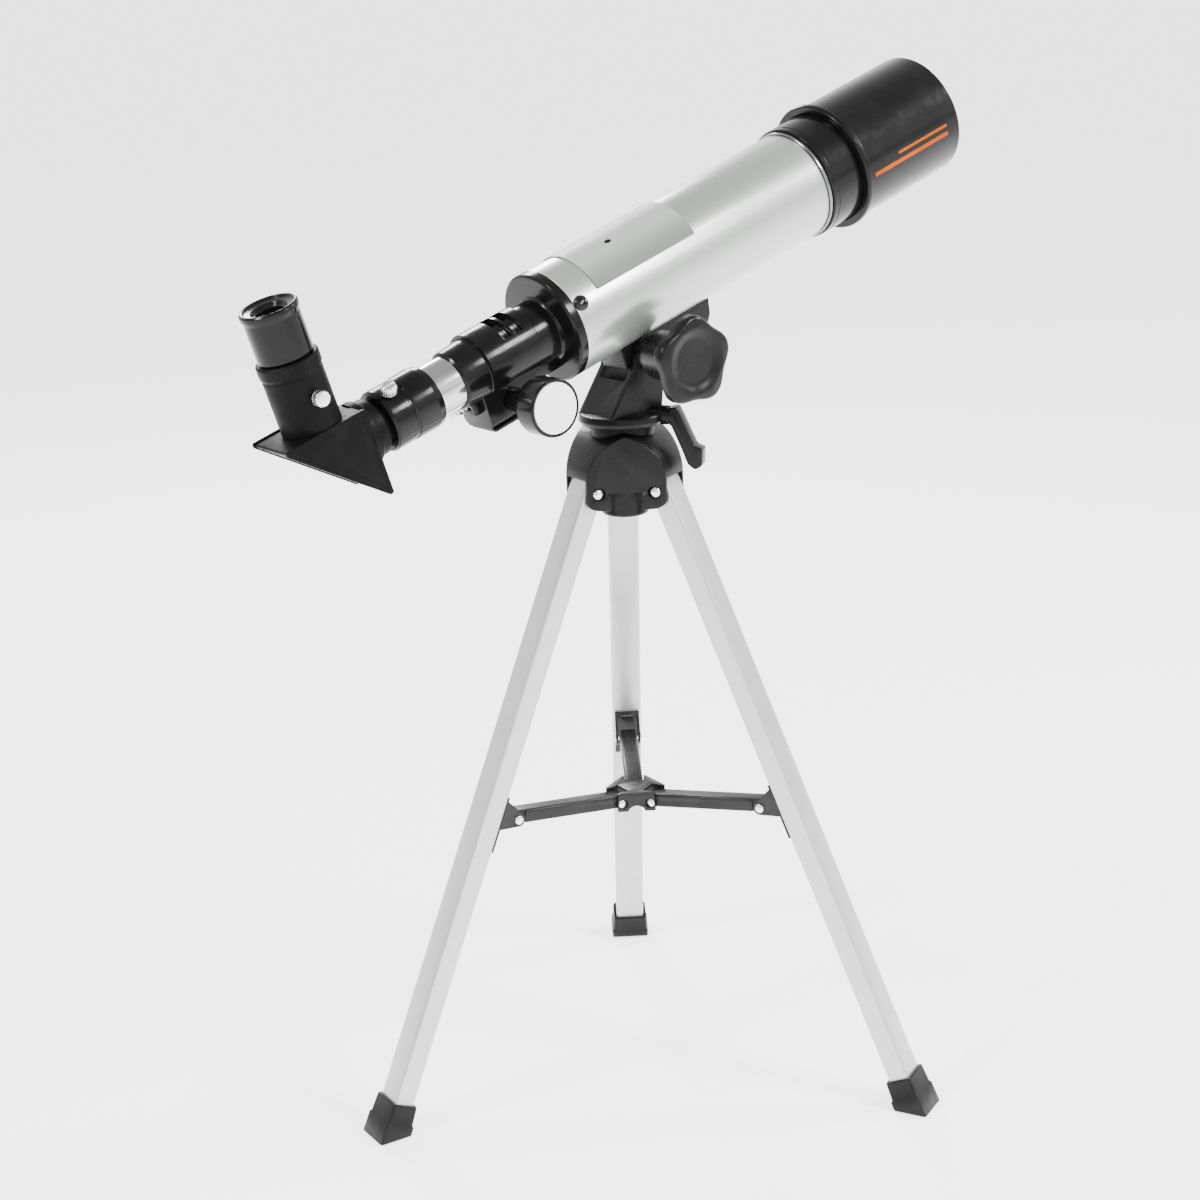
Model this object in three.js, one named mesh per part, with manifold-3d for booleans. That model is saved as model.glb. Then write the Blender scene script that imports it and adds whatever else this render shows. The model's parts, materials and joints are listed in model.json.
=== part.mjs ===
// Small refracting telescope on a folding table-top tripod. Millimetres, +Z up, tube heading +X.
// The tube assembly is drawn along its own axis (local +X towards the sky, local +Z up) and then
// tilted about the altitude bolt. The tripod is drawn about its own vertical axis.
import * as THREE from 'three';
import { mergeVertices } from 'three/addons/utils/BufferGeometryUtils.js';
import Module from 'manifold-3d';

const wasm = await Module();
wasm.setup();

// ---- driving dimensions: tripod -----------------------------------------------------------
const DEG = Math.PI / 180;
const GAP = 0.3;                          // running gap between pieces
const FAR = 60;                           // cutters reach past the piece they cut
const TRIPOD_AXIS = [-2.9, 8.5];          // tripod axis from the origin, the box's bottom centre
const THIRDS = [0, 120, 240];             // yaw of the three leg stations from the first, degrees

const LEG_SPLAY = 22.9;                   // leg from vertical, open, degrees
const LEG_YAW = [53.8, 173.8, 293.8];     // leg headings, degrees from +X
const LEG = { width: 17, depth: 11.7, wall: 1.3, top: 6, end: 362 };  // top and end from the pin
const LEG_PIN = { r: 25, z: 338.3, shank: 2, head: 3, height: 2.6, hole: 2.3 };
const BOOT = { deep: 14, foot: 13, wall: 1.6, flare: 1.2 };  // along the leg, past and before its end

const CROWN = { radius: 30.5, base: 345, rise: 26, facet: 24.5, skirt: 339, low: 330, ear: 19.8 };
const BOSS = { r: 13, low: 322 };
const CROWN_TOP = { r: 17.4, z: 371.6 };
const PIN_SEAT = { at: 12.1, r: 3.4 };    // spot face for each pin head, off the leg's centre plane
const LEG_SLOT = { in: 14.5, top: 344.5, round: 9.2, side: 0.4 };

const RIVET = { r: 1.5, head: 2.4, height: 1 };
const HUB = { pivotR: 13, z: 157.5, wall: 1.2, below: 4.5, above: 4.9, open: 7.8, width: 13.4, rim: 2.6 };
const RIVET_SEAT_R = 2.8;
const ARM_PIVOT = { r: 80, z: 164 };      // outer pivot, on the leg bracket
const ARM = { width: 10.4, below: 2.8, above: 4.6, wall: 0.9, tip: 2.5 };  // about the pivot line
const ARM_SLOT = { r: 1.5, reach: 20.4, high: 3.6 };  // path of the outer rivet seen from the arm
const BRACKET = { half: 7.4, ear: 1.2, thick: 1.6, up: 11, down: 21, earR: 4 };
const FOLD_WINDOW = { from: -2, to: 19.5, half: 5.7 };  // opening that the arm's end passes

// ---- driving dimensions: mount head ---------------------------------------------------------
const SPINDLE = { r: 3.9, hole: 4.2, low: 327.4, high: 388.6 };
const NUT = { r: 8, seat: 8.6, low: 326.2, high: 331.6 };
const DISC = { r: 23.8, low: 372, high: 378.6, round: 1.8 };
const ALTITUDE = 17.8;                    // tube above the horizontal at rest, degrees
const ALT_AXIS = { h: 8, z: 410.5 };      // altitude bolt: forward of the tripod axis, height
const ALT_IN_TUBE = { s: -3.3, v: -36.3 };  // the same axis in the tube's own frame
const BOLT = { r: 3, hole: 3.4, end: -41, head: 6.4, headHigh: 4.3 };
const FORK = { inner: 10.6, outer: 14.6, round: 9.4, tip: 7.6, floor: 395 };
const LOCK = { yaw: -53.5, z: 376.2, r: 3, hole: 3.3, tip: 9.5, bossR: 5.6, boss: 26.6, half: 5 };
const HAND_KNOB = { r: 22.4, lobe: 1.6, lobes: 5, turn: 90, near: -46, face: -54 };
const KNOB_BORE = { r: 3.2, end: -41.3 };

// ---- driving dimensions: tube ---------------------------------------------------------------
const TUBE = { r: 30, wall: 0.8, rear: -48, front: 131 };
const TUBE_SIDES = 30;
const DRAW_SIDES = 20;
const PLUG_R = TUBE.r - TUBE.wall - GAP;  // what fits inside the tube
const SADDLE = { rear: -17, front: 49.6, half: 10, low: -41, knuckle: 9.6 };
const PLATE = { rear: -31, front: 38.6, half: 26.5, thick: 0.5 };
const SCREW_ANGLES = [154, 34, 274];      // flange screws, degrees above the horizontal
const SCREW = { r: 1.6, hole: 1.9, head: 4, inTube: 4 };
const TRIM = { r: 31, length: 1.9 };
const CELL = { r: 32, front: 172, bore: 25.4, seat: 27.4, stop: 24.6, plug: 14 };
const LENS_SEAT = { rear: 154, at: 157, r: 27 };
const SHIELD = { r: 34.5, lipR: 36.8, rear: 156, lipEnd: 160, front: 234, wall: 1.6, grip: 173.4 };
const FLANGE = { rear: -54, plug: -36, rim: 0.2, shell: 2.2 };
const FOCUSER = { r: 17, rear: -117, step: -102, windows: [-84, -77], windowHalf: 1.7 };
const PINION = { s: -91, v: -20.6, shaft: 2.2, hole: 2.4 };
const PINION_BOX = { rear: -108, front: -74, half: 12, low: -30.6 };
const FOCUS_KNOB = { inner: 32, outer: 48, r: 14.9, hub: 6, hubStart: 13, face: 13.6, cap: 13.2, ribs: 20 };
const GEAR = { teeth: 11, module: 0.8 };
const GEAR_R = (GEAR.teeth * GEAR.module) / 2;
const RACK = { from: -128, to: -24, half: 3 };
const RACK_PITCH = Math.PI * GEAR.module;
const DRAW = { r: 14.25, wall: 1, rear: -150, front: -22, slide: 0.25 };
const COLLAR = { r: 16.6, front: -132, rear: -163, bore: 12.5, groove: 8.6 };
const COLLAR_SCREW = { s: -156.5, angle: 60 };  // degrees above the horizontal, on the -Y side
const DIAG = { s: -198, half: 26, top: 17, side: 16.4, front: -176, low: -29.6, wall: 2.4, light: 11 };
const NECK = { r: 15.4, step: -167, barrel: 12.2, rear: -151.4 };
const HOLDER = { r: 15.4, ringR: 16, top: 54, ring: 47, bore: 12.4, seat: 24 };
const EYE = { r: 14.2, rimR: 15, bottom: 54.4, top: 81, barrel: 12.1, low: 30, inner: 11.1, eyeR: 7.4 };
const EYE_SCREW_V = 34;                   // its thumbscrew points to the -Y side

// ---- materials ----------------------------------------------------------------------------
function finish(color, roughness, metalness) {
  return new THREE.MeshStandardMaterial({ color, roughness, metalness });
}
const WHITE_ENAMEL = finish(0xe4e8e5, 0.3, 0.1);
const BLACK_PLASTIC = finish(0x232423, 0.4, 0);
const BLACK_METAL = finish(0x2c2c2b, 0.45, 0.4);
const GREY_METAL = finish(0xd9dbd9, 0.4, 0.5);
const CHROME = finish(0xdfe1e2, 0.1, 1);
const BRIGHT_STEEL = finish(0xe8e8e8, 0.2, 1);
const RUBBER = finish(0x1a1a1a, 0.8, 0);
const GLASS = finish(0xcfe0ea, 0.02, 0);
const BRASS = finish(0xb89a55, 0.3, 1);

// ---- solid helpers ------------------------------------------------------------------------
// Turns a closed three.js geometry into a manifold solid, with its faces looking outwards.
function solid(geometry) {
  const bare = geometry.clone();
  bare.deleteAttribute('normal');
  bare.deleteAttribute('uv');
  const merged = mergeVertices(bare, 1e-4);
  const position = merged.attributes.position;
  const corners = [];
  const [a, b, c] = [new THREE.Vector3(), new THREE.Vector3(), new THREE.Vector3()];
  let volume = 0;
  for (let i = 0; i < merged.index.count; i += 3) {
    const [p, q, r] = [0, 1, 2].map((k) => merged.index.getX(i + k));
    if (p === q || q === r || r === p) continue;
    corners.push([p, q, r]);
    a.fromBufferAttribute(position, p);
    b.fromBufferAttribute(position, q);
    c.fromBufferAttribute(position, r);
    volume += a.dot(b.cross(c));
  }
  const outwards = ([p, q, r]) => (volume > 0 ? [p, q, r] : [p, r, q]);
  const triVerts = new Uint32Array(corners.flatMap(outwards));
  const vertProperties = new Float32Array(position.array);
  return new wasm.Manifold(new wasm.Mesh({ numProp: 3, vertProperties, triVerts }));
}

function toGeometry(shape) {
  const mesh = shape.getMesh();
  const geometry = new THREE.BufferGeometry();
  geometry.setAttribute('position', new THREE.BufferAttribute(new Float32Array(mesh.vertProperties), 3));
  geometry.setIndex(new THREE.BufferAttribute(new Uint32Array(mesh.triVerts), 1));
  geometry.computeVertexNormals();
  return geometry;
}

function piece(name, shape, material) {
  const mesh = new THREE.Mesh(toGeometry(shape), material);
  mesh.name = name;
  return mesh;
}

function block(x0, x1, y0, y1, z0, z1) {
  const geometry = new THREE.BoxGeometry(x1 - x0, y1 - y0, z1 - z0);
  return solid(geometry.translate((x0 + x1) / 2, (y0 + y1) / 2, (z0 + z1) / 2));
}

// A turned shape: outline of [radius, station] pairs, from axis to axis or closed on itself.
function turned(outline, segments = 24) {
  return new THREE.LatheGeometry(outline.map(([r, s]) => new THREE.Vector2(r, s)), segments);
}
const turnedX = (outline, segments) => solid(turned(outline, segments).rotateZ(-Math.PI / 2));
const turnedY = (outline, segments) => solid(turned(outline, segments));
const turnedZ = (outline, segments) => solid(turned(outline, segments).rotateX(Math.PI / 2));
const rod = (r, from, to) => [[0, from], [r, from], [r, to], [0, to]];
const ring = (r0, r1, from, to) => [[r0, from], [r1, from], [r1, to], [r0, to], [r0, from]];

// A hole along Y whose two mouths are opened out to a seat from a given reach.
function seatedHole(r, seatR, reach, sides) {
  return turnedY([[0, -FAR], [seatR, -FAR], [seatR, -reach], [r, -reach],
    [r, reach], [seatR, reach], [seatR, FAR], [0, FAR]], sides);
}

function extruded(points, depth) {
  const outline = new THREE.Shape(points.map(([x, y]) => new THREE.Vector2(x, y)));
  return new THREE.ExtrudeGeometry(outline, { depth, bevelEnabled: false });
}
// A flat outline in the XZ plane between two stations along Y, and one in XY between two heights.
const slabXZ = (points, y0, y1) => solid(extruded(points, y1 - y0).rotateX(Math.PI / 2).translate(0, y1, 0));
const slabXY = (points, z0, z1) => solid(extruded(points, z1 - z0).translate(0, 0, z0));

// Points on an arc, its angles in degrees.
function arc(cx, cy, r, from, to, steps) {
  return Array.from({ length: steps + 1 }, (_, i) => {
    const angle = (from + (to - from) * (i / steps)) * DEG;
    return [cx + r * Math.cos(angle), cy + r * Math.sin(angle)];
  });
}

const join = (a, b) => a.add(b);
const common = (a, b) => a.intersect(b);
const cut = (shape, ...tools) => tools.reduce((rest, tool) => rest.subtract(tool), shape);
const atThirds = (make) => THIRDS.map((yaw) => make().rotate([0, 0, yaw]));

// ---- legs ---------------------------------------------------------------------------------
// One leg station is drawn in its own radial plane, local +X outwards and +Z up. A leg is drawn
// straight down from its pin and then splayed.
const onLeg = (shape) => shape.rotate([0, -LEG_SPLAY, 0]).translate([LEG_PIN.r, 0, LEG_PIN.z]);

// The outer spreader pivot in the leg's own frame: station down the leg, and standoff from its centre.
function bracketPivot() {
  const [run, rise] = [ARM_PIVOT.r - LEG_PIN.r, ARM_PIVOT.z - LEG_PIN.z];
  const [sin, cos] = [Math.sin(LEG_SPLAY * DEG), Math.cos(LEG_SPLAY * DEG)];
  return { z: rise * cos - run * sin, x: run * cos + rise * sin };
}
const PIVOT = bracketPivot();

function foldWindow(x0, x1) {
  const { from, to, half } = FOLD_WINDOW;
  return block(x0, x1, -half, half, PIVOT.z + from, PIVOT.z + to);
}

function leg() {
  const [half, deep] = [LEG.width / 2, LEG.depth / 2];
  const [boreHalf, boreDeep] = [half - LEG.wall, deep - LEG.wall];
  const outer = block(-deep, deep, -half, half, -LEG.end, LEG.top);
  const bore = block(-boreDeep, boreDeep, -boreHalf, boreHalf, -LEG.end - 1, LEG.top + 1);
  const pinHole = turnedY(rod(LEG_PIN.hole, -half - 1, half + 1), 16);
  return onLeg(cut(outer, bore, pinHole, foldWindow(-deep - 1, 1 - boreDeep)));
}

// Rubber boot: a cup whose mouth follows the leg and whose sole is level.
function boot() {
  const around = (grow, low, high) => {
    const [x, y] = [LEG.depth / 2 + grow, LEG.width / 2 + grow];
    return block(-x, x, -y, y, low, high);
  };
  const low = -LEG.end - BOOT.deep;
  const wrap = around(BOOT.wall, low, -LEG.end + BOOT.deep);
  const foot = around(BOOT.wall + BOOT.flare, low, low + BOOT.foot);
  const socket = around(GAP, -LEG.end - GAP, 0);
  const underFloor = block(0, 400, -FAR, FAR, -FAR, 0);
  return onLeg(wrap.add(foot).subtract(socket)).subtract(underFloor);
}

// A headed pin along Y: shank, and a domed head at each end whose underside is at the given reach.
function headedPin(shank, head, reach, height, sides) {
  const profile = [[shank, reach], [head, reach], [head, reach + height * 0.4],
    [head * 0.6, reach + height * 0.8], [0, reach + height]];
  const mirrored = profile.map(([r, s]) => [r, -s]).reverse();
  return turnedY([...mirrored, ...profile], sides);
}
function legPin() {
  const { r, z, shank, head, height } = LEG_PIN;
  return headedPin(shank, head, PIN_SEAT.at + GAP, height, 16).translate([r, 0, z]);
}
function rivet(reach, r, z) {
  return headedPin(RIVET.r - GAP, RIVET.head, reach, RIVET.height, 12).translate([r, 0, z]);
}

// Pressed steel bracket: a strip on the leg's inner face with two ears that hold the arm's pivot.
function bracket() {
  const { half, ear, thick, up, down, earR } = BRACKET;
  const face = -LEG.depth / 2 - GAP;
  const strip = block(face - thick, face, -half, half, PIVOT.z - down, PIVOT.z + up);
  const edge = face - 0.2;
  const outline = [[edge, 9], ...arc(PIVOT.x, 0, earR, 90, 270, 10), [edge, -8]];
  const hole = turnedY(rod(RIVET.r + 0.1, -FAR, FAR), 16).translate([PIVOT.x, 0, 0]);
  const ears = [-half, half - ear].map((y) => slabXZ(outline, y, y + ear)
    .subtract(hole)
    .translate([0, 0, PIVOT.z]));
  return onLeg(cut(strip, foldWindow(face - 4, face + 1)).add(ears[0]).add(ears[1]));
}

// ---- spreader -----------------------------------------------------------------------------
const ARM_RISE = ARM_PIVOT.z - HUB.z;
const ARM_RUN = ARM_PIVOT.r - HUB.pivotR;
const ARM_LENGTH = Math.hypot(ARM_RUN, ARM_RISE);
const ARM_SLOPE = Math.atan2(ARM_RISE, ARM_RUN) / DEG;

// The room that the outer rivet needs in the arm's walls, because the arm's end wanders as the legs
// fold: open below, and as long and as high as the rivet's path seen from the arm.
function rivetSlot() {
  const { r, reach, high } = ARM_SLOT;
  const path = [...arc(0, 0, r, 0, 90, 4), [-5, high], [6 - reach, high], [-reach, 1],
    [-reach, -8], [0, -8], [1, -1.2]];
  return slabXZ(path, -FAR, FAR).translate([ARM_LENGTH, 0, 0]);
}

// Pressed channel arm, drawn flat along +X between its pivots and then laid on its slope.
function arm() {
  const { width, below, above, wall, tip } = ARM;
  const half = width / 2;
  const profile = [...arc(0, 0, below, 270, 180, 5), [-below, above - 1.2], [-1.6, above],
    [ARM_LENGTH + 1, above], [ARM_LENGTH + tip, above - 1.4], ...arc(ARM_LENGTH, 0, tip, 0, -90, 5)];
  const channel = block(-10, ARM_LENGTH + 10, wall - half, half - wall, -10, above - wall);
  const hole = turnedY(rod(RIVET.r, -FAR, FAR), 12);
  return cut(slabXZ(profile, -half, half), channel, hole, rivetSlot())
    .rotate([0, -ARM_SLOPE, 0])
    .translate([HUB.pivotR, 0, HUB.z]);
}

// Spreader hub: a three-sided pressed cap, open at its corners, whose walls hold the arms' rivets.
function hub() {
  const half = HUB.width / 2;
  const inside = half - HUB.wall;
  const reach = HUB.pivotR + HUB.rim;
  const spokes = (from, top) => atThirds(
    () => block(from, reach + 5, -inside, inside, HUB.z - 20, HUB.z + top)).reduce(join);
  const corner = (yaw, side) => [
    reach * Math.cos(yaw * DEG) - side * Math.sin(yaw * DEG),
    reach * Math.sin(yaw * DEG) + side * Math.cos(yaw * DEG)];
  const outline = THIRDS.flatMap((yaw) => [corner(yaw, -half), corner(yaw, half)]);
  const outer = slabXY(outline, HUB.z - HUB.below, HUB.z + HUB.above + HUB.wall);
  const rivets = atThirds(() => seatedHole(RIVET.r, RIVET_SEAT_R, half, 12)
    .intersect(block(-FAR, FAR, -14, 14, -FAR, FAR))
    .translate([HUB.pivotR, 0, HUB.z]));
  return cut(outer, spokes(0, HUB.above), spokes(HUB.open, 20), ...rivets).rotate([0, 0, LEG_YAW[0]]);
}

// ---- crown --------------------------------------------------------------------------------
// One third of the crown's body: arched outwards over its leg, and open-ended behind the axis.
function hood() {
  const { radius, base, rise, low } = CROWN;
  const arch = arc(0, 0, 1, 0, 90, 5).map(([x, z]) => [x * radius, base + z * rise]);
  return slabXZ([[-80, low], [radius, low], ...arch, [-80, base + rise]], -FAR, FAR);
}

function legSlot() {
  const { in: inner, top, round, side } = LEG_SLOT;
  const bow = arc(LEG_PIN.r, LEG_PIN.z, round, 36, 180, 8);
  const half = LEG.width / 2 + side;
  return slabXZ([[inner, 300], [FAR, 300], [FAR, top], ...bow, [inner, CROWN.skirt]], -half, half);
}

// Crown casting: three arched hoods over the legs, three flat facets between them, a boss underneath.
function crown() {
  const facets = [240, 0, 120]
    .map((yaw) => block(-CROWN.facet, 80, -FAR, FAR, 300, 400).rotate([0, 0, yaw]))
    .reduce(common);
  const ears = atThirds(() => block(CROWN.ear, FAR, -40, 40, 300, 400)).reduce(join);
  const underSkirt = block(-FAR, FAR, -FAR, FAR, 300, CROWN.skirt).subtract(ears);
  const top = turnedZ(rod(CROWN_TOP.r, 340, CROWN_TOP.z), 24).intersect(facets);
  const boss = turnedZ(rod(BOSS.r, BOSS.low, CROWN.skirt + 2), 24);
  const body = atThirds(hood).reduce(common).intersect(facets).subtract(underSkirt).add(top).add(boss);
  const pins = atThirds(() => seatedHole(LEG_PIN.hole, PIN_SEAT.r, PIN_SEAT.at, 16)
    .intersect(block(-FAR, FAR, -40, 40, -FAR, FAR))
    .translate([LEG_PIN.r, 0, LEG_PIN.z]));
  const spindleHole = turnedZ(rod(SPINDLE.hole, 300, 400), 16);
  const nutSeat = turnedZ(rod(NUT.seat, 300, 332), 16);
  return cut(body, ...atThirds(legSlot), ...pins, spindleHole, nutSeat).rotate([0, 0, LEG_YAW[0]]);
}

// ---- azimuth head -------------------------------------------------------------------------
const onLock = (shape) => shape.rotate([0, 0, LOCK.yaw]).translate([0, 0, LOCK.z]);
const onAltitude = (shape) => shape.translate([ALT_AXIS.h, 0, ALT_AXIS.z]);

// Turntable disc, a column whose rear slopes up to the fork, and the fork for the tube's knuckle.
function azimuthHead() {
  const { h, z } = ALT_AXIS;
  const root = DISC.high - 1;
  const disc = turnedZ([[0, DISC.low], [DISC.r - 1.5, DISC.low], [DISC.r, DISC.low + DISC.round],
    [DISC.r, DISC.high - DISC.round], [DISC.r - 1.6, DISC.high], [0, DISC.high]], 20);
  const side = [[-19, root], [16, root], [h + 10.4, 400], [h + FORK.tip, z], [h - FORK.tip, z], [-2.2, 402]];
  const tips = onAltitude(turnedY([[0, -FORK.outer], [FORK.round, -FORK.outer], [FORK.tip, -FORK.inner],
    [FORK.tip, FORK.inner], [FORK.round, FORK.outer], [0, FORK.outer]], 20));
  const lockBoss = onLock(turnedX(rod(LOCK.bossR, 14, LOCK.boss), 16))
    .subtract(block(-FAR, FAR, -FAR, FAR, 340, DISC.low));
  const body = disc.add(slabXZ(side, -FORK.outer, FORK.outer)).add(tips).add(lockBoss);
  const slot = block(-6, FAR, -FORK.inner, FORK.inner, FORK.floor, 440);
  const bolt = onAltitude(turnedY(rod(BOLT.hole, -40, 40), 16));
  const spindle = turnedZ(rod(SPINDLE.hole, 360, 389), 16);
  return cut(body, slot, bolt, spindle, onLock(turnedX(rod(LOCK.hole, 8, 40), 20)));
}

// Azimuth lock: a screw with a hanging wing handle.
function azimuthLock() {
  const wing = slabXZ([[27.2, 5], [32, 5.4], [35, 2], [44.6, -19.4], [44.4, -26.4], [40.6, -28.6],
    [36.4, -26.6], [29.4, -8.8], [27.4, -3]], -LOCK.half, LOCK.half);
  return onLock(turnedX(rod(LOCK.r, LOCK.tip, 33), 20).add(wing));
}

const azimuthSpindle = () => turnedZ(rod(SPINDLE.r, SPINDLE.low, SPINDLE.high), 16);
function spindleNut() {
  return turnedZ(rod(NUT.r, NUT.low, NUT.high), 6).subtract(turnedZ(rod(SPINDLE.hole, 320, 340), 16));
}

// Altitude bolt with its head on the far side, and the five-lobed hand knob that clamps it.
function altitudeBolt() {
  const seat = FORK.outer + GAP;
  const top = seat + BOLT.headHigh;
  return onAltitude(turnedY([[0, BOLT.end], [BOLT.r, BOLT.end], [BOLT.r, seat], [BOLT.head, seat],
    [BOLT.head, top], [0, top]], 16));
}

function altitudeKnob() {
  const { r, lobe, lobes, turn, near, face } = HAND_KNOB;
  const steps = 50;
  const outline = Array.from({ length: steps }, (_, i) => {
    const angle = (i / steps) * 360;
    const radius = r + lobe * Math.cos(lobes * (angle - turn) * DEG);
    return [radius * Math.cos(angle * DEG), radius * Math.sin(angle * DEG)];
  });
  const seat = -FORK.outer - GAP;
  const dish = turnedY([[0, -60], [15, -60], [14, -53.4], [9, -52.2], [0, -51.8]], 20);
  const sleeve = turnedY([[0, near - 1], [14, near - 1], [13.2, -25], [9.4, -17], [9, seat], [0, seat]], 20);
  const cap = slabXZ(outline, face, near).subtract(dish);
  return onAltitude(cap.add(sleeve).subtract(turnedY(rod(KNOB_BORE.r, KNOB_BORE.end, 0), 16)));
}

// ---- optical tube (tube frame) --------------------------------------------------------------
function tubeBracket() {
  const { rear, front, half, low, knuckle } = SADDLE;
  const atBolt = (shape) => shape.translate([ALT_IN_TUBE.s, 0, ALT_IN_TUBE.v]);
  const body = block(rear, front, -half, half, low, -24).add(atBolt(turnedY(rod(knuckle, -half, half), 32)));
  const nose = slabXZ([[42, -45], [FAR, -45], [FAR, -24], [front, -24], [front - 2.8, -37]], -20, 20);
  const tubeSeat = turnedX(rod(TUBE.r + GAP, -FAR, 80), TUBE_SIDES);
  return cut(body, nose, tubeSeat, atBolt(turnedY(rod(BOLT.hole, -40, 40), 16)));
}

// Three screws clamp the focuser's plug inside the tube; their holes run through both.
function onScrew(shape, angle) {
  return shape.rotate([angle - 90, 0, 0]).translate([TUBE.rear + SCREW.inTube, 0, 0]);
}
const screwHoles = () => SCREW_ANGLES.map((angle) => onScrew(turnedZ(rod(SCREW.hole, 20, 40), 12), angle));
function flangeScrew(angle) {
  const seat = TUBE.r + GAP;
  return onScrew(turnedZ([[0, 25], [SCREW.r, 25], [SCREW.r, seat], [SCREW.head, seat],
    [SCREW.head - 0.2, seat + 1.3], [2.4, seat + 2.4], [0, seat + 2.7]], 20), angle);
}

function mainTube() {
  const wall = turnedX(ring(TUBE.r - TUBE.wall, TUBE.r, TUBE.rear, TUBE.front), TUBE_SIDES);
  return cut(wall, ...screwHoles());
}

function labelPlate() {
  const { rear, front, half, thick } = PLATE;
  const seat = TUBE.r + GAP;
  const shell = turnedX(ring(seat, seat + thick, rear, front), TUBE_SIDES);
  return shell.intersect(block(rear, front, -half, half, 12, 40));
}

function trimRing() {
  const from = TUBE.front + GAP;
  return turnedX(ring(TUBE.r - TUBE.wall + 0.2, TRIM.r, from, from + TRIM.length), TUBE_SIDES);
}

// Lens cell: a plug in the tube's mouth, a step that stops the trim ring, and the lens seat.
function objectiveCell() {
  const { r, front, bore, seat, stop, plug } = CELL;
  const back = TUBE.front + TRIM.length + 2 * GAP;
  return turnedX([[bore, back - plug], [PLUG_R, back - plug], [PLUG_R, back], [r - 0.6, back],
    [r, back + 1], [r, front - 1], [r - 1, front], [seat, front], [seat, LENS_SEAT.at],
    [stop, LENS_SEAT.at], [stop, LENS_SEAT.rear], [bore, LENS_SEAT.rear - 2], [bore, back - plug]],
  TUBE_SIDES);
}

function lensProfile(r, edge0, edge1, bulge0, bulge1) {
  const steps = [0, 1 / 3, 2 / 3, 1];
  const rear = steps.map((t) => [r * t, edge0 - bulge0 * (1 - t * t)]);
  const front = steps.map((t) => [r * t, edge1 + bulge1 * (1 - t * t)]);
  return [...rear, ...front.reverse()];
}
const flintLens = () => turnedX(lensProfile(LENS_SEAT.r, 157.4, 160.6, -0.3, -1.1), DRAW_SIDES);
const crownLens = () => turnedX(lensProfile(LENS_SEAT.r, 161, 163.2, 1.0, 1.4), DRAW_SIDES);
const retainingRing = () => turnedX(ring(CELL.bore, LENS_SEAT.r + 0.1, 163.6, 167.4), DRAW_SIDES);

function dewShield() {
  const { r, lipR, rear, lipEnd, front, wall, grip } = SHIELD;
  const bore = CELL.r + GAP;
  return turnedX([[bore, rear], [lipR - 0.8, rear], [lipR, rear + 0.8], [lipR, lipEnd - 0.8],
    [lipR - 0.9, lipEnd], [r, lipEnd + 0.4], [r, front - 1.2], [r - 0.8, front], [r - wall, front],
    [r - wall, grip + 0.6], [bore, grip], [bore, rear]], TUBE_SIDES);
}

// ---- focuser ------------------------------------------------------------------------------
const onPinion = (shape) => shape.translate([PINION.s, 0, PINION.v]);

// A flange that closes the tube and the barrel that guides the drawtube, turned in one piece.
function focuserBarrel() {
  const { rear, plug, rim } = FLANGE;
  const { r, step } = FOCUSER;
  const edge = TUBE.rear - GAP;
  return turnedX([[0, FOCUSER.rear], [14.9, FOCUSER.rear], [15.8, FOCUSER.rear + 1], [r - 0.4, step - 2],
    [r - 0.4, step], [r, step + 1.5], [r, rear - 3], [19, rear - 1.2], [21, rear], [29.2, rear],
    [TUBE.r + rim, rear + 1], [TUBE.r + rim, edge], [PLUG_R, edge], [PLUG_R, plug], [0, plug]], TUBE_SIDES);
}

function focuserWindow(s) {
  const slot = turnedX(ring(12, 22, s - FOCUSER.windowHalf, s + FOCUSER.windowHalf), DRAW_SIDES);
  return slot.intersect(block(-120, -FAR, -14, 14, 8, 30));
}

// The whole housing: the barrel, a raised saddle on top, the pinion box and the rack's channel.
function focuserHousing() {
  const { rear, front, half, low } = PINION_BOX;
  const inside = PLUG_R - FLANGE.shell;
  const saddle = turnedX(ring(16, FOCUSER.r + 1, -100.6, -68), TUBE_SIDES)
    .intersect(block(-120, -FAR, -20, 20, 5, 30));
  const body = cut(focuserBarrel(), ...screwHoles())
    .add(block(rear, front, -half, half, low, -8))
    .add(block(-112, -54, -6.4, 6.4, -21.4, -8))
    .add(saddle);
  const hollow = turnedX(rod(inside, -51, -30), TUBE_SIDES);
  const bore = turnedX(rod(DRAW.r + DRAW.slide, -130, -40), DRAW_SIDES);
  const rackWay = block(-130, -40, -3.6, 3.6, -18.6, 0);
  const pocket = block(PINION.s - 8, PINION.s + 8, -5.4, 5.4, -32, -10);
  const axle = onPinion(turnedY(rod(PINION.hole, -30, 30), 20));
  return cut(body, hollow, bore, rackWay, pocket, axle, ...FOCUSER.windows.map(focuserWindow));
}

function pinionCover() {
  const { rear, front, half, low } = PINION_BOX;
  return block(rear + 1.4, front - 1.4, 1 - half, half - 1, low - 2, low - GAP);
}

// Straight-sided stand-ins for the gear's teeth.
function gearOutline(teeth, size) {
  const pitchR = (teeth * size) / 2;
  const [root, tip] = [pitchR - 1.1 * size, pitchR + 0.75 * size];
  const tooth = [[root, -0.3], [tip, -0.09], [tip, 0.09], [root, 0.3]];
  const step = 360 / teeth;
  return Array.from({ length: teeth }, (_, i) => tooth.map(([r, f]) => {
    const angle = (i + 0.5 + f) * step * DEG;
    return [r * Math.cos(angle), r * Math.sin(angle)];
  })).flat();
}

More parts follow.
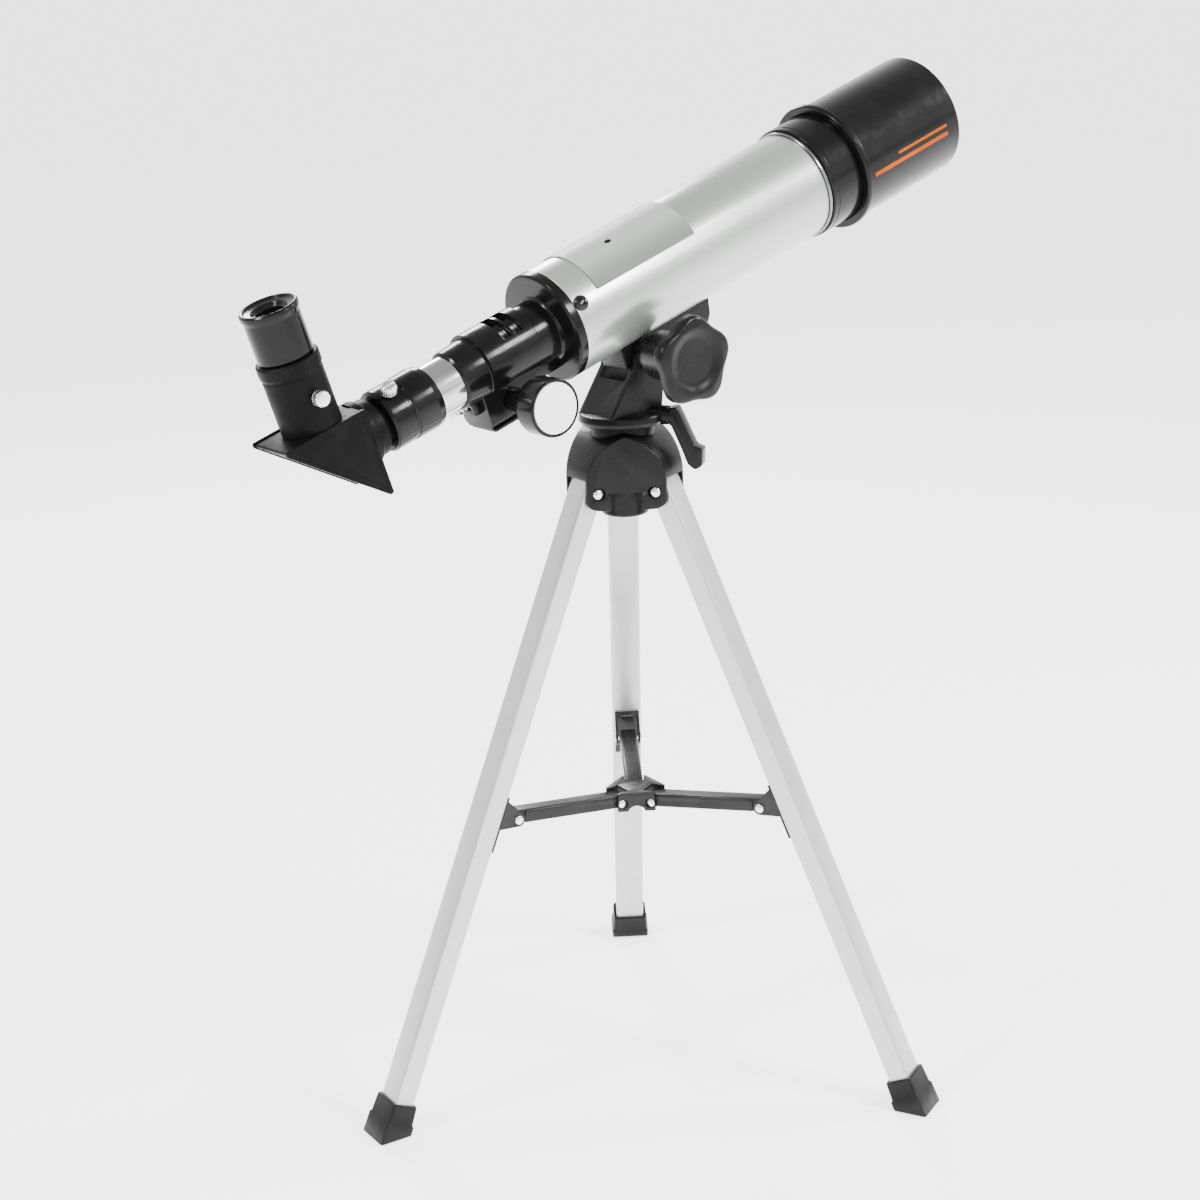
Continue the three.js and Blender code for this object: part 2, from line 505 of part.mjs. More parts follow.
// The gear is turned so that a tooth gap points up at the rack.
function pinionShaft() {
  const gear = slabXZ(gearOutline(GEAR.teeth, GEAR.module), -3.2, 3.2).rotate([0, 90 / GEAR.teeth, 0]);
  return onPinion(gear.add(turnedY(rod(PINION.shaft, -46, 46), 20)));
}

function rack() {
  const { from, to, half } = RACK;
  const pitchV = PINION.v + GEAR_R;
  const top = 0.2 - DRAW.r;
  const first = Math.ceil((from + 2 - PINION.s) / RACK_PITCH);
  const last = Math.floor((to - 2 - PINION.s) / RACK_PITCH);
  const points = [[from, top], [to, top], [to, pitchV + 1]];
  for (let i = last; i >= first; i -= 1) {
    const middle = PINION.s + i * RACK_PITCH;
    for (const [f, v] of [[0.3, 0.9], [0.13, -0.55], [-0.13, -0.55], [-0.3, 0.9]]) {
      points.push([middle + f * RACK_PITCH, pitchV + v]);
    }
  }
  points.push([from, pitchV + 1]);
  return slabXZ(points, -half, half).subtract(turnedX(rod(DRAW.r + GAP, -160, 0), DRAW_SIDES));
}

const handed = (shape, side) => onPinion(side > 0 ? shape : shape.mirror([0, 1, 0]));
function focusKnob(side) {
  const { inner, outer, r, hub: hubR, hubStart, face, ribs } = FOCUS_KNOB;
  const drum = turnedY([[0, inner], [r - 2.5, inner], [r - 0.5, inner + 1.2], [r, inner + 3],
    [r, outer - 1.4], [r - 0.5, outer - 0.4], [r - 1, outer], [face, outer], [face, outer - 1.4],
    [0, outer - 1.4]], ribs);
  const stem = turnedY(rod(hubR, hubStart, inner + 0.5), 16);
  const bore = turnedY(rod(PINION.shaft + GAP, 0, outer - 1.8), 20);
  return handed(drum.add(stem).subtract(bore), side);
}
function focusCap(side) {
  const { outer, cap } = FOCUS_KNOB;
  const [from, to] = [outer - 1.1, outer - 0.1];
  return handed(turnedY([[0, from], [cap, from], [cap, to - 0.2], [cap - 0.3, to], [0, to]], 24), side);
}

const drawtube = () => turnedX(ring(DRAW.r - DRAW.wall, DRAW.r, DRAW.rear, DRAW.front), DRAW_SIDES);

function onCollarScrew(shape) {
  return shape.rotate([90 - COLLAR_SCREW.angle, 0, 0]).translate([COLLAR_SCREW.s, 0, 0]);
}
function drawtubeCollar() {
  const { r, front, rear, bore, groove } = COLLAR;
  const stop = DRAW.rear - GAP;
  const shell = turnedX([[bore, rear], [r - 0.6, rear], [r, rear + 0.8], [r, rear + groove - 0.6],
    [r - 0.4, rear + groove], [r, rear + groove + 0.6], [r, front - 1.2], [r - 1, front],
    [DRAW.r + GAP, front], [DRAW.r + GAP, stop], [bore, stop], [bore, rear]], DRAW_SIDES);
  return shell.subtract(onCollarScrew(turnedZ(rod(SCREW.hole, 0, 30), 16)));
}

// A thumbscrew outline from its tip: shank, then a knurled head above its seat.
function thumbscrewOutline(tip, seat) {
  const [foot, top] = [seat + 1, seat + 6.4];
  return [[0, tip], [SCREW.r, tip], [SCREW.r, foot], [3.6, foot], [4, foot + 0.6], [4, top - 0.8],
    [3.6, top - 0.2], [0, top]];
}
const collarThumbscrew = () => onCollarScrew(turnedZ(thumbscrewOutline(13.2, COLLAR.r), 16));

// ---- diagonal and eyepiece ------------------------------------------------------------------
const onEyepiece = (shape) => shape.translate([DIAG.s, 0, 0]);

// A prism housing with a barrel into the collar and the eyepiece holder on top.
function diagonalHousing() {
  const { s, half, top, side, front, low, wall, light } = DIAG;
  const back = s - half;
  const face = front - wall;
  const corners = [[back, top], [front, top], [front, low], [face, low], [back, top - wall]];
  const wedge = slabXZ(corners, -side, side);
  const room = slabXZ([[s - 20.6, top - 2], [face, top - 2], [face, -25.4]], -side - 1, side - 2);
  const neck = turnedX([[0, front - 1], [NECK.r, front - 1], [NECK.r, NECK.step],
    [NECK.barrel, NECK.step + 0.6], [NECK.barrel, NECK.rear], [0, NECK.rear]], 24);
  const holder = onEyepiece(turnedZ([[0, top - 1], [HOLDER.r, top - 1], [HOLDER.r, HOLDER.ring],
    [HOLDER.ringR, HOLDER.ring + 0.6], [HOLDER.ringR, HOLDER.top - 0.8], [HOLDER.ringR - 0.8, HOLDER.top],
    [0, HOLDER.top]], 24));
  const lightIn = turnedX(rod(light, -190, -140), 24);
  const lightOut = onEyepiece(turnedZ(rod(light, 0, FAR), 24));
  const socket = onEyepiece(turnedZ(rod(HOLDER.bore, HOLDER.seat, FAR), 24));
  const screw = turnedY(rod(SCREW.hole, -30, 0), 16).translate([s, 0, EYE_SCREW_V]);
  return cut(wedge.subtract(room).add(neck).add(holder), lightIn, lightOut, socket, screw);
}

function diagonalCover() {
  const { s, side, front, top } = DIAG;
  return slabXZ([[s - 18.8, top - 2.6], [front - 3, top - 2.6], [front - 3, -23.4]], -side, 1.6 - side);
}
function diagonalPrism() {
  const { s, side } = DIAG;
  return slabXZ([[s - 13.4, 13.2], [s + 15.4, 13.2], [s + 15.4, -12.6]], 4 - side, side - 5);
}
function eyepieceThumbscrew() {
  const screw = turnedZ(thumbscrewOutline(12.9, HOLDER.ringR), 16).rotate([90, 0, 0]);
  return screw.translate([DIAG.s, 0, EYE_SCREW_V]);
}

function eyepieceBody() {
  const { r, rimR, bottom, top, barrel, low, inner, eyeR } = EYE;
  return onEyepiece(turnedZ([[inner, low], [barrel, low], [barrel, bottom], [r - 0.6, bottom],
    [r, bottom + 0.8], [r, top - 5], [rimR, top - 3.6], [rimR, top - 0.8], [rimR - 0.8, top], [11.4, top],
    [9.6, top - 3.4], [eyeR, top - 3.4], [eyeR, 60], [inner, 58], [inner, low]], DRAW_SIDES));
}
const eyeLens = () => onEyepiece(turnedZ(lensProfile(7.1, 72.4, 73.6, 0.7, 0.9), 16));
const fieldLens = () => onEyepiece(turnedZ(lensProfile(10.8, 50, 51.6, 0.9, 0.2), 16));

// ---- assembly -----------------------------------------------------------------------------
const telescope = new THREE.Group();
const tripod = new THREE.Group();
tripod.position.set(TRIPOD_AXIS[0], TRIPOD_AXIS[1], 0);
telescope.add(tripod);

LEG_YAW.forEach((yaw, i) => {
  const station = new THREE.Group();
  station.rotation.z = yaw * DEG;
  const n = i + 1;
  station.add(
    piece(`leg_${n}`, leg(), GREY_METAL),
    piece(`leg_boot_${n}`, boot(), RUBBER),
    piece(`leg_pin_${n}`, legPin(), BRIGHT_STEEL),
    piece(`leg_bracket_${n}`, bracket(), BLACK_METAL),
    piece(`outer_rivet_${n}`, rivet(BRACKET.half + GAP, ARM_PIVOT.r, ARM_PIVOT.z), BRIGHT_STEEL),
    piece(`hub_rivet_${n}`, rivet(HUB.width / 2 + GAP, HUB.pivotR, HUB.z), BRIGHT_STEEL),
    piece(`spreader_arm_${n}`, arm(), BLACK_METAL),
  );
  tripod.add(station);
});
tripod.add(
  piece('spreader_hub', hub(), BLACK_METAL),
  piece('crown', crown(), BLACK_PLASTIC),
  piece('azimuth_head', azimuthHead(), BLACK_PLASTIC),
  piece('azimuth_lock', azimuthLock(), BLACK_PLASTIC),
  piece('azimuth_spindle', azimuthSpindle(), BRIGHT_STEEL),
  piece('spindle_nut', spindleNut(), BRIGHT_STEEL),
  piece('altitude_bolt', altitudeBolt(), BRIGHT_STEEL),
  piece('altitude_knob', altitudeKnob(), BLACK_PLASTIC),
);

const tube = new THREE.Group();
tube.add(
  piece('tube_bracket', tubeBracket(), BLACK_PLASTIC),
  piece('main_tube', mainTube(), WHITE_ENAMEL),
  piece('label_plate', labelPlate(), GREY_METAL),
  piece('trim_ring', trimRing(), BRIGHT_STEEL),
  piece('objective_cell', objectiveCell(), BLACK_PLASTIC),
  piece('flint_lens', flintLens(), GLASS),
  piece('crown_lens', crownLens(), GLASS),
  piece('lens_retaining_ring', retainingRing(), BLACK_METAL),
  piece('dew_shield', dewShield(), BLACK_PLASTIC),
  piece('focuser_housing', focuserHousing(), BLACK_PLASTIC),
  piece('pinion_cover', pinionCover(), BLACK_METAL),
  piece('pinion_shaft', pinionShaft(), BRASS),
  piece('focus_knob_left', focusKnob(1), BLACK_PLASTIC),
  piece('focus_knob_right', focusKnob(-1), BLACK_PLASTIC),
  piece('focus_cap_left', focusCap(1), BRIGHT_STEEL),
  piece('focus_cap_right', focusCap(-1), BRIGHT_STEEL),
  piece('drawtube', drawtube(), CHROME),
  piece('drawtube_rack', rack(), BRASS),
  piece('drawtube_collar', drawtubeCollar(), BLACK_PLASTIC),
  piece('collar_thumbscrew', collarThumbscrew(), BRIGHT_STEEL),
  piece('diagonal_housing', diagonalHousing(), BLACK_PLASTIC),
  piece('diagonal_cover', diagonalCover(), BLACK_PLASTIC),
  piece('diagonal_prism', diagonalPrism(), GLASS),
  piece('eyepiece_thumbscrew', eyepieceThumbscrew(), BRIGHT_STEEL),
  piece('eyepiece_body', eyepieceBody(), BLACK_PLASTIC),
  piece('eye_lens', eyeLens(), GLASS),
  piece('field_lens', fieldLens(), GLASS),
);
SCREW_ANGLES.forEach((angle, i) => {
  tube.add(piece(`flange_screw_${i + 1}`, flangeScrew(angle), BLACK_METAL));
});

// The tube turns about the altitude bolt: the same line in its own frame lands on the fork's axis.
tube.position.set(-ALT_IN_TUBE.s, 0, -ALT_IN_TUBE.v);
const tilt = new THREE.Group();
tilt.rotation.y = -ALTITUDE * DEG;
tilt.position.set(ALT_AXIS.h, 0, ALT_AXIS.z);
tilt.add(tube);
tripod.add(tilt);

export default telescope;
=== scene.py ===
"""The looks of a small refracting telescope on a folding table-top tripod.

Every piece is drawn in millimetres in the frame that suits it (along the tube, down a leg, about the
tripod's axis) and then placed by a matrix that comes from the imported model's joints.
"""
import json
import math

import bmesh
import bpy
from mathutils import Matrix, Vector


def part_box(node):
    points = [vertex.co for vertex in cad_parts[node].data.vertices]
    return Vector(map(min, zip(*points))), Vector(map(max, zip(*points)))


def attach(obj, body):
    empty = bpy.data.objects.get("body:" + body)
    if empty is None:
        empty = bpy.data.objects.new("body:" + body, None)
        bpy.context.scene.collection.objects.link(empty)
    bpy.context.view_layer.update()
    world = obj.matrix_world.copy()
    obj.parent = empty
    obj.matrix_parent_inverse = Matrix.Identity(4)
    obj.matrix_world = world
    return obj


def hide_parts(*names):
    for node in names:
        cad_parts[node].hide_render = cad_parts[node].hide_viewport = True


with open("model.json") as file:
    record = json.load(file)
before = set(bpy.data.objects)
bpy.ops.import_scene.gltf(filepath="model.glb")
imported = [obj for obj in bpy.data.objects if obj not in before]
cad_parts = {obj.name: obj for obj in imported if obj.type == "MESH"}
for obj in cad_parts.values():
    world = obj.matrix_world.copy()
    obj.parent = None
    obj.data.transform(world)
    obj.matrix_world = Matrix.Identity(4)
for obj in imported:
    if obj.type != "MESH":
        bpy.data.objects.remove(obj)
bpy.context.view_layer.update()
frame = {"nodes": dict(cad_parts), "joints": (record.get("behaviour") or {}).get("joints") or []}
JOINTS = {joint["name"]: joint for joint in frame["joints"]}
NODES = frame["nodes"]

# ---- frames ----
MM = 0.001
ROUND = 96                      # sides of a turned piece


def joint_place(name):
    return Vector(JOINTS[name]["pos_m"])


def joint_axis(name):
    return Vector(JOINTS[name]["axis"])


def frame_matrix(x_axis, y_axis, z_axis, origin):
    """Millimetres in a local frame to metres in the row frame."""
    columns = Matrix((x_axis, y_axis, z_axis)).transposed().to_4x4()
    return Matrix.Translation(origin) @ columns @ Matrix.Scale(MM, 4)


TRIPOD = Vector((*joint_place("azimuth")[:2], 0))
TRIPOD_FRAME = frame_matrix((1, 0, 0), (0, 1, 0), (0, 0, 1), TRIPOD)
SKY = -joint_axis("focus")
SIDE = Vector((0, 1, 0))
ABOVE = SKY.cross(SIDE)
ALT_S, ALT_V = -3.3, -36.3      # altitude bolt in the tube's own frame
TUBE = frame_matrix(SKY, SIDE, ABOVE, joint_place("altitude") - (SKY * ALT_S + ABOVE * ALT_V) * MM)
ALTITUDE_FRAME = frame_matrix((1, 0, 0), (0, 1, 0), (0, 0, 1), joint_place("altitude"))
FORK_X = (joint_place("altitude") - TRIPOD).x / MM
FORK_Z = joint_place("altitude").z / MM
LEG_SPLAY = math.radians(22.9)
LOCK_YAW = math.atan2(joint_axis("azimuth_lock_turn").y, joint_axis("azimuth_lock_turn").x)
LOCK_Z = joint_place("azimuth_lock_turn").z / MM


def station(n):
    """The radial plane of leg n: local X outwards, Z up, origin on the floor under the tripod's axis."""
    axis = joint_axis(f"leg_fold_{n}")
    yaw = math.atan2(-axis.x, axis.y)
    return TRIPOD_FRAME @ Matrix.Rotation(yaw, 4, "Z")


def pin_frame(n):
    pin = joint_place(f"leg_fold_{n}")
    r = (Vector((pin.x, pin.y, 0)) - TRIPOD).length / MM
    return station(n) @ Matrix.Translation((r, 0, pin.z / MM))


def leg_frame(n):
    """Down a leg: local -Z along the leg from its pin, X through its thickness, Y across it."""
    return pin_frame(n) @ Matrix.Rotation(-LEG_SPLAY, 4, "Y")


# ---- outlines ----
def arc(cx, cy, rx, start, end, steps, ry=None):
    ry = rx if ry is None else ry
    angles = [math.radians(start + (end - start) * i / steps) for i in range(steps + 1)]
    return [(cx + rx * math.cos(a), cy + ry * math.sin(a)) for a in angles]


def rounded(points, radius, closed=True, steps=5):
    """The outline with its corners rounded. A point may carry its own radius as a third number."""
    out = []
    count = len(points)
    for i, point in enumerate(points):
        here = Vector(point[:2])
        size = point[2] if len(point) > 2 else radius
        if size <= 0 or (not closed and i in (0, count - 1)):
            out.append(tuple(here))
            continue
        before = Vector(points[i - 1][:2]) - here
        after = Vector(points[(i + 1) % count][:2]) - here
        if before.length < 1e-6 or after.length < 1e-6:
            continue
        half = before.angle(after) / 2
        if half > math.radians(86):
            out.append(tuple(here))
            continue
        run = min(size / math.tan(half), before.length * 0.48, after.length * 0.48)
        a, b = here + before.normalized() * run, here + after.normalized() * run
        for k in range(steps + 1):
            t = k / steps
            out.append(tuple(a * (1 - t) ** 2 + here * 2 * t * (1 - t) + b * t ** 2))
    return out


# ---- meshes ----
LOCAL_FRAMES = {}               # piece name to the inverse of the frame it was drawn in


def add_object(name, data):
    obj = bpy.data.objects.new(name, data)
    bpy.context.scene.collection.objects.link(obj)
    return obj


def finish_mesh(name, bm, matrix, crease=32):
    """Turns a bmesh in local millimetres into an object in metres."""
    bmesh.ops.remove_doubles(bm, verts=bm.verts, dist=1e-4)
    bmesh.ops.recalc_face_normals(bm, faces=bm.faces)
    mesh = bpy.data.meshes.new(name)
    bm.transform(matrix)
    if matrix.determinant() < 0:
        bmesh.ops.reverse_faces(bm, faces=bm.faces)
    bm.to_mesh(mesh)
    bm.free()
    obj = add_object(name, mesh)
    LOCAL_FRAMES[obj.name] = matrix.inverted()
    smooth(obj, crease)
    return obj


def set_local(obj, inverse):
    """Writes each vertex's place in the piece's own frame, in millimetres, for the materials."""
    mesh = obj.data
    if "local" in mesh.attributes:
        mesh.attributes.remove(mesh.attributes["local"])
    layer = mesh.attributes.new("local", "FLOAT_VECTOR", "POINT")
    for vert, item in zip(mesh.vertices, layer.data):
        item.vector = inverse @ vert.co


def smooth(obj, crease=32):
    bm = bmesh.new()
    bm.from_mesh(obj.data)
    limit = math.radians(crease)
    for face in bm.faces:
        face.smooth = True
    for edge in bm.edges:
        edge.smooth = edge.is_manifold and edge.calc_face_angle(0) < limit
    bm.to_mesh(obj.data)
    bm.free()


def bake(obj):
    """Applies the modifiers."""
    graph = bpy.context.evaluated_depsgraph_get()
    mesh = bpy.data.meshes.new_from_object(obj.evaluated_get(graph))
    obj.modifiers.clear()
    obj.data = mesh
    return obj


def turned(name, outline, matrix, axis="X", closed=False, sides=ROUND):
    """A turned shape. The outline is [(radius, station)] from axis to axis, or closed on itself."""
    bm = bmesh.new()
    rings = []
    for r, s in outline:
        if r < 1e-6:
            rings.append([bm.verts.new(axis_point(axis, 0, 0, s))])
            continue
        angles = [2 * math.pi * k / sides for k in range(sides)]
        rings.append([bm.verts.new(axis_point(axis, r * math.cos(a), r * math.sin(a), s)) for a in angles])
    pairs = list(zip(rings, rings[1:]))
    if closed:
        pairs.append((rings[-1], rings[0]))
    for a, b in pairs:
        for k in range(sides):
            n = (k + 1) % sides
            corners = [a[k % len(a)], a[n % len(a)], b[n % len(b)], b[k % len(b)]]
            unique = list(dict.fromkeys(corners))
            if len(unique) > 2:
                bm.faces.new(unique)
    return finish_mesh(name, bm, matrix)


def rod(radius, low, high, matrix, axis, sides=ROUND):
    """A plain solid cylinder, used to drill and to build on."""
    return turned("rod", [(0, low), (radius, low), (radius, high), (0, high)], matrix, axis, sides=sides)


def shifted(matrix, x, y, z):
    return matrix @ Matrix.Translation((x, y, z))


def axis_point(axis, p, q, s):
    return {"X": (s, p, q), "Y": (q, s, p), "Z": (p, q, s)}[axis]


def slab(outline, point, low, high):
    """A bmesh between two copies of an outline. point() makes a 3-D point of (a, b, level)."""
    bm = bmesh.new()
    bottom, top = ([bm.verts.new(point(a, b, level)) for a, b in outline] for level in (low, high))
    bm.faces.new(bottom)
    bm.faces.new(list(reversed(top)))
    count = len(outline)
    for i in range(count):
        j = (i + 1) % count
        bm.faces.new((bottom[j], bottom[i], top[i], top[j]))
    return bm


PLANES = {"XZ": lambda a, b, c: (a, c, b), "XY": lambda a, b, c: (a, b, c), "YZ": lambda a, b, c: (c, a, b)}


def prism(name, outline, low, high, matrix, plane="XZ"):
    """An outline in the XZ, XY or YZ plane, extruded along the third axis from low to high."""
    return finish_mesh(name, slab(outline, PLANES[plane], low, high), matrix)


def loft(name, rings, matrix):
    """Skins a stack of equal outlines of 3-D points and closes both ends."""
    bm = bmesh.new()
    rows = [[bm.verts.new(point) for point in ring] for ring in rings]
    count = len(rows[0])
    for low, high in zip(rows, rows[1:]):
        for i in range(count):
            j = (i + 1) % count
            bm.faces.new((low[i], low[j], high[j], high[i]))
    bm.faces.new(list(reversed(rows[0])))
    bm.faces.new(rows[-1])
    return finish_mesh(name, bm, matrix)


def box(name, x0, x1, y0, y1, z0, z1, matrix):
    return prism(name, [(x0, z0), (x1, z0), (x1, z1), (x0, z1)], y0, y1, matrix)


def combine(obj, others, operation):
    for other in others:
        modifier = obj.modifiers.new(operation, "BOOLEAN")
        modifier.operation = operation
        modifier.solver = "MANIFOLD"
        modifier.object = other
        bake(obj)
        bpy.data.objects.remove(other)
    smooth(obj)
    return obj


def cut(obj, *others):
    return combine(obj, others, "DIFFERENCE")


def fuse(obj, *others):
    return combine(obj, others, "UNION")


def common(obj, *others):
    return combine(obj, others, "INTERSECT")


def soften(obj, width, segments=3, angle=32):
    """Rounds the edges, in millimetres."""
    bm = bmesh.new()
    bm.from_mesh(obj.data)
    bmesh.ops.dissolve_limit(bm, angle_limit=math.radians(0.5), verts=bm.verts, edges=bm.edges)
    bm.to_mesh(obj.data)
    bm.free()
    bevel = obj.modifiers.new("bevel", "BEVEL")
    bevel.width = width * MM
    bevel.segments = segments
    bevel.limit_method = "ANGLE"
    bevel.angle_limit = math.radians(angle)
    bevel.use_clamp_overlap = True
    bevel.miter_outer = "MITER_ARC"
    bake(obj)
    smooth(obj, 40)
    return obj


def wrapped(name, outline, radius, thickness, matrix, step=1.2):
    """A thin plate laid on the tube: the outline's points are (station, millimetres round the tube from
    its top, positive towards -Y)."""
    bm = slab(outline, PLANES["XY"], 0, thickness)
    low, high = min(w for _, w in outline), max(w for _, w in outline)
    w = low + step
    while w < high:
        everything = bm.verts[:] + bm.edges[:] + bm.faces[:]
        bmesh.ops.bisect_plane(bm, geom=everything, plane_co=(0, w, 0), plane_no=(0, 1, 0))
        w += step
    bmesh.ops.triangulate(bm, faces=[f for f in bm.faces if len(f.verts) > 4])
    for vert in bm.verts:
        s, w, t = vert.co
        angle = w / radius
        vert.co = (s, -(radius + t) * math.sin(angle), (radius + t) * math.cos(angle))
    return finish_mesh(name, bm, matrix)


# ---- materials ----
def set_inputs(node, values):
    for name, value in values.items():
        node.inputs[name].default_value = value


def shader(name, colour, roughness, metallic=0.0, coat=0.0, coat_roughness=0.1, specular=0.5):
    material = bpy.data.materials.new(name)
    material.use_nodes = True
    tree = material.node_tree
    principled = tree.nodes["Principled BSDF"]
    set_inputs(principled, {"Base Color": (*colour, 1), "Roughness": roughness, "Metallic": metallic,
                            "Coat Weight": coat, "Coat Roughness": coat_roughness,
                            "Specular IOR Level": specular})
    return material, tree, principled


def local_place(tree, stretch=(1, 1, 1)):
    """Each vertex's place in its piece's own frame, in millimetres, stretched for a grain."""
    attribute = tree.nodes.new("ShaderNodeAttribute")
    attribute.attribute_name = "local"
    mapping = tree.nodes.new("ShaderNodeMapping")
    mapping.inputs["Scale"].default_value = stretch
    tree.links.new(attribute.outputs["Vector"], mapping.inputs["Vector"])
    return mapping.outputs["Vector"]


def noise(tree, place, scale, detail=3.0, rough=0.5):
    node = tree.nodes.new("ShaderNodeTexNoise")
    set_inputs(node, {"Scale": scale, "Detail": detail, "Roughness": rough})
    tree.links.new(place, node.inputs["Vector"])
    return node.outputs["Fac"]


def remap(tree, value, low, high, from_low=0.3, from_high=0.7):
    node = tree.nodes.new("ShaderNodeMapRange")
    set_inputs(node, {"From Min": from_low, "From Max": from_high, "To Min": low, "To Max": high})
    tree.links.new(value, node.inputs["Value"])
    return node.outputs["Result"]


def bump(tree, principled, value, strength, distance):
    node = tree.nodes.new("ShaderNodeBump")
    set_inputs(node, {"Strength": strength, "Distance": distance * MM})
    tree.links.new(value, node.inputs["Height"])
    tree.links.new(node.outputs["Normal"], principled.inputs["Normal"])


def blend_colour(tree, factor, a, b):
    node = tree.nodes.new("ShaderNodeMix")
    node.data_type = "RGBA"
    node.inputs["A"].default_value = (*a, 1)
    node.inputs["B"].default_value = (*b, 1)
    tree.links.new(factor, node.inputs["Factor"])
    return node.outputs["Result"]


def moulded(name, colour, roughness, grain, specular=0.15):
    """Injection-moulded plastic: a fine skin, uneven gloss and a trace of handling dust."""
    material, tree, principled = shader(name, colour, roughness, specular=specular)
    place = local_place(tree)
    wear = noise(tree, place, 0.06, 4)
    dusty = [c * 1.6 + 0.002 for c in colour]
    dust = blend_colour(tree, remap(tree, wear, 0, 1, 0.5, 0.85), colour, dusty)
    tree.links.new(dust, principled.inputs["Base Color"])
    gloss = remap(tree, noise(tree, place, 0.25, 3), roughness * 0.82, roughness * 1.25)
    tree.links.new(gloss, principled.inputs["Roughness"])
    bump(tree, principled, noise(tree, place, 5.0, 2), grain, 0.03)
    return material


def painted(name, colour, roughness, metallic):
    """Sprayed paint over a metal tube, with a very slight orange peel and a clear coat."""
    material, tree, principled = shader(name, colour, roughness, metallic, coat=0.35, coat_roughness=0.16)
    place = local_place(tree)
    tone = noise(tree, place, 0.02, 2)
    shaded = [c * k for c, k in zip(colour, (0.965, 0.98, 0.97))]
    tint = blend_colour(tree, remap(tree, tone, 0, 1), colour, shaded)
    tree.links.new(tint, principled.inputs["Base Color"])
    gloss = remap(tree, noise(tree, place, 0.9, 4), roughness * 0.92, roughness * 1.1)
    tree.links.new(gloss, principled.inputs["Roughness"])
    bump(tree, principled, noise(tree, place, 1.4, 2), 0.05, 0.02)
    return material


def grained(name, colour, roughness, metallic, stretch, strength=0.12, scale=2.0):
    """Drawn, turned or brushed metal: a fine grain that runs along the short side of the stretch."""
    material, tree, principled = shader(name, colour, roughness, metallic)
    place = local_place(tree, stretch)
    grain = noise(tree, place, scale, 4, 0.6)
    tree.links.new(remap(tree, grain, roughness * 0.8, roughness * 1.25), principled.inputs["Roughness"])
    soft = noise(tree, local_place(tree), 0.05, 2)
    tint = blend_colour(tree, remap(tree, soft, 0, 1), colour, [c * 0.94 for c in colour])
    tree.links.new(tint, principled.inputs["Base Color"])
    bump(tree, principled, grain, strength, 0.02)
    return material


def foil(name, colour, painted_shade_colour):
    """A foil plate, brushed along the tube, with painted shade that darkens its colour towards its two long
    edges, where the plate curves down the tube's sides.
    """
    material, tree, principled = shader(name, colour, 0.45, specular=0.2)
    grain = noise(tree, local_place(tree, (0.08, 2.0, 2.0)), 2.0, 4, 0.6)
    tree.links.new(remap(tree, grain, 0.34, 0.5), principled.inputs["Roughness"])
    bump(tree, principled, grain, 0.08, 0.02)
    split = tree.nodes.new("ShaderNodeSeparateXYZ")
    tree.links.new(local_place(tree), split.inputs["Vector"])
    reach = tree.nodes.new("ShaderNodeMath")
    reach.operation = "ABSOLUTE"
    tree.links.new(split.outputs["Y"], reach.inputs[0])
    # painted shade: the colour is blended towards the darker second colour over the last few millimetres at
    # each long edge
    shade = remap(tree, reach.outputs["Value"], 0, 1, 15, 26.5)
    tree.links.new(blend_colour(tree, shade, colour, painted_shade_colour), principled.inputs["Base Color"])
    return material


def glass(name, tint, coat_tint):
    """Coated optical glass."""
    material, tree, principled = shader(name, tint, 0.02)
    set_inputs(principled, {"Transmission Weight": 1.0, "IOR": 1.52, "Coat Weight": 0.6,
                            "Coat Tint": (*coat_tint, 1)})
    smear = noise(tree, local_place(tree), 0.3, 3)
    tree.links.new(remap(tree, smear, 0.01, 0.05), principled.inputs["Roughness"])
    return material


TUBE_PAINT = painted("tube_paint", (0.40, 0.42, 0.40), 0.3, 0.7)
LEG_METAL = grained("leg_metal", (0.50, 0.51, 0.50), 0.34, 0.75, (3.0, 3.0, 0.04), 0.10)
# the plate's second colour is painted shade for its long edges
PLATE_FOIL = foil("plate_foil", (0.30, 0.315, 0.30), (0.10, 0.107, 0.10))
GLOSS_BLACK = moulded("gloss_black", (0.0035, 0.0036, 0.0035), 0.17, 0.06, 0.16)
SATIN_BLACK = moulded("satin_black", (0.0055, 0.0056, 0.0055), 0.28, 0.16, 0.13)
INNER_BLACK = moulded("inner_black", (0.003, 0.003, 0.003), 0.7, 0.3, 0.1)
BLACK_ENAMEL = moulded("black_enamel", (0.011, 0.011, 0.011), 0.3, 0.12, 0.2)
SCREW_BLACK = moulded("screw_black", (0.004, 0.004, 0.004), 0.2, 0.06, 0.3)
TRIM_STEEL = grained("trim_steel", (0.2, 0.2, 0.2), 0.18, 1.0, (1, 1, 1), 0.04)
BRIGHT = grained("bright_steel", (0.86, 0.86, 0.85), 0.24, 1.0, (1, 1, 1), 0.06)
KNOB_FACE = grained("knob_face", (0.93, 0.935, 0.93), 0.4, 0.0, (1, 1, 1), 0.05, 3.0)
CHROME = grained("chrome", (0.5, 0.51, 0.5), 0.12, 1.0, (0.05, 1, 1), 0.03)
BRASS = grained("brass", (0.66, 0.5, 0.24), 0.3, 1.0, (1, 1, 1))
PRISM_BLACK = moulded("prism_black", (0.0035, 0.0036, 0.0035), 0.42, 0.1, 0.05)
RUBBER = moulded("rubber", (0.006, 0.006, 0.006), 0.42, 0.4, 0.16)
ORANGE = moulded("orange_print", (0.3, 0.05, 0.0), 0.6, 0.1, 0.05)
LENS = glass("coated_glass", (0.95, 0.98, 1.0), (0.75, 0.8, 1.0))


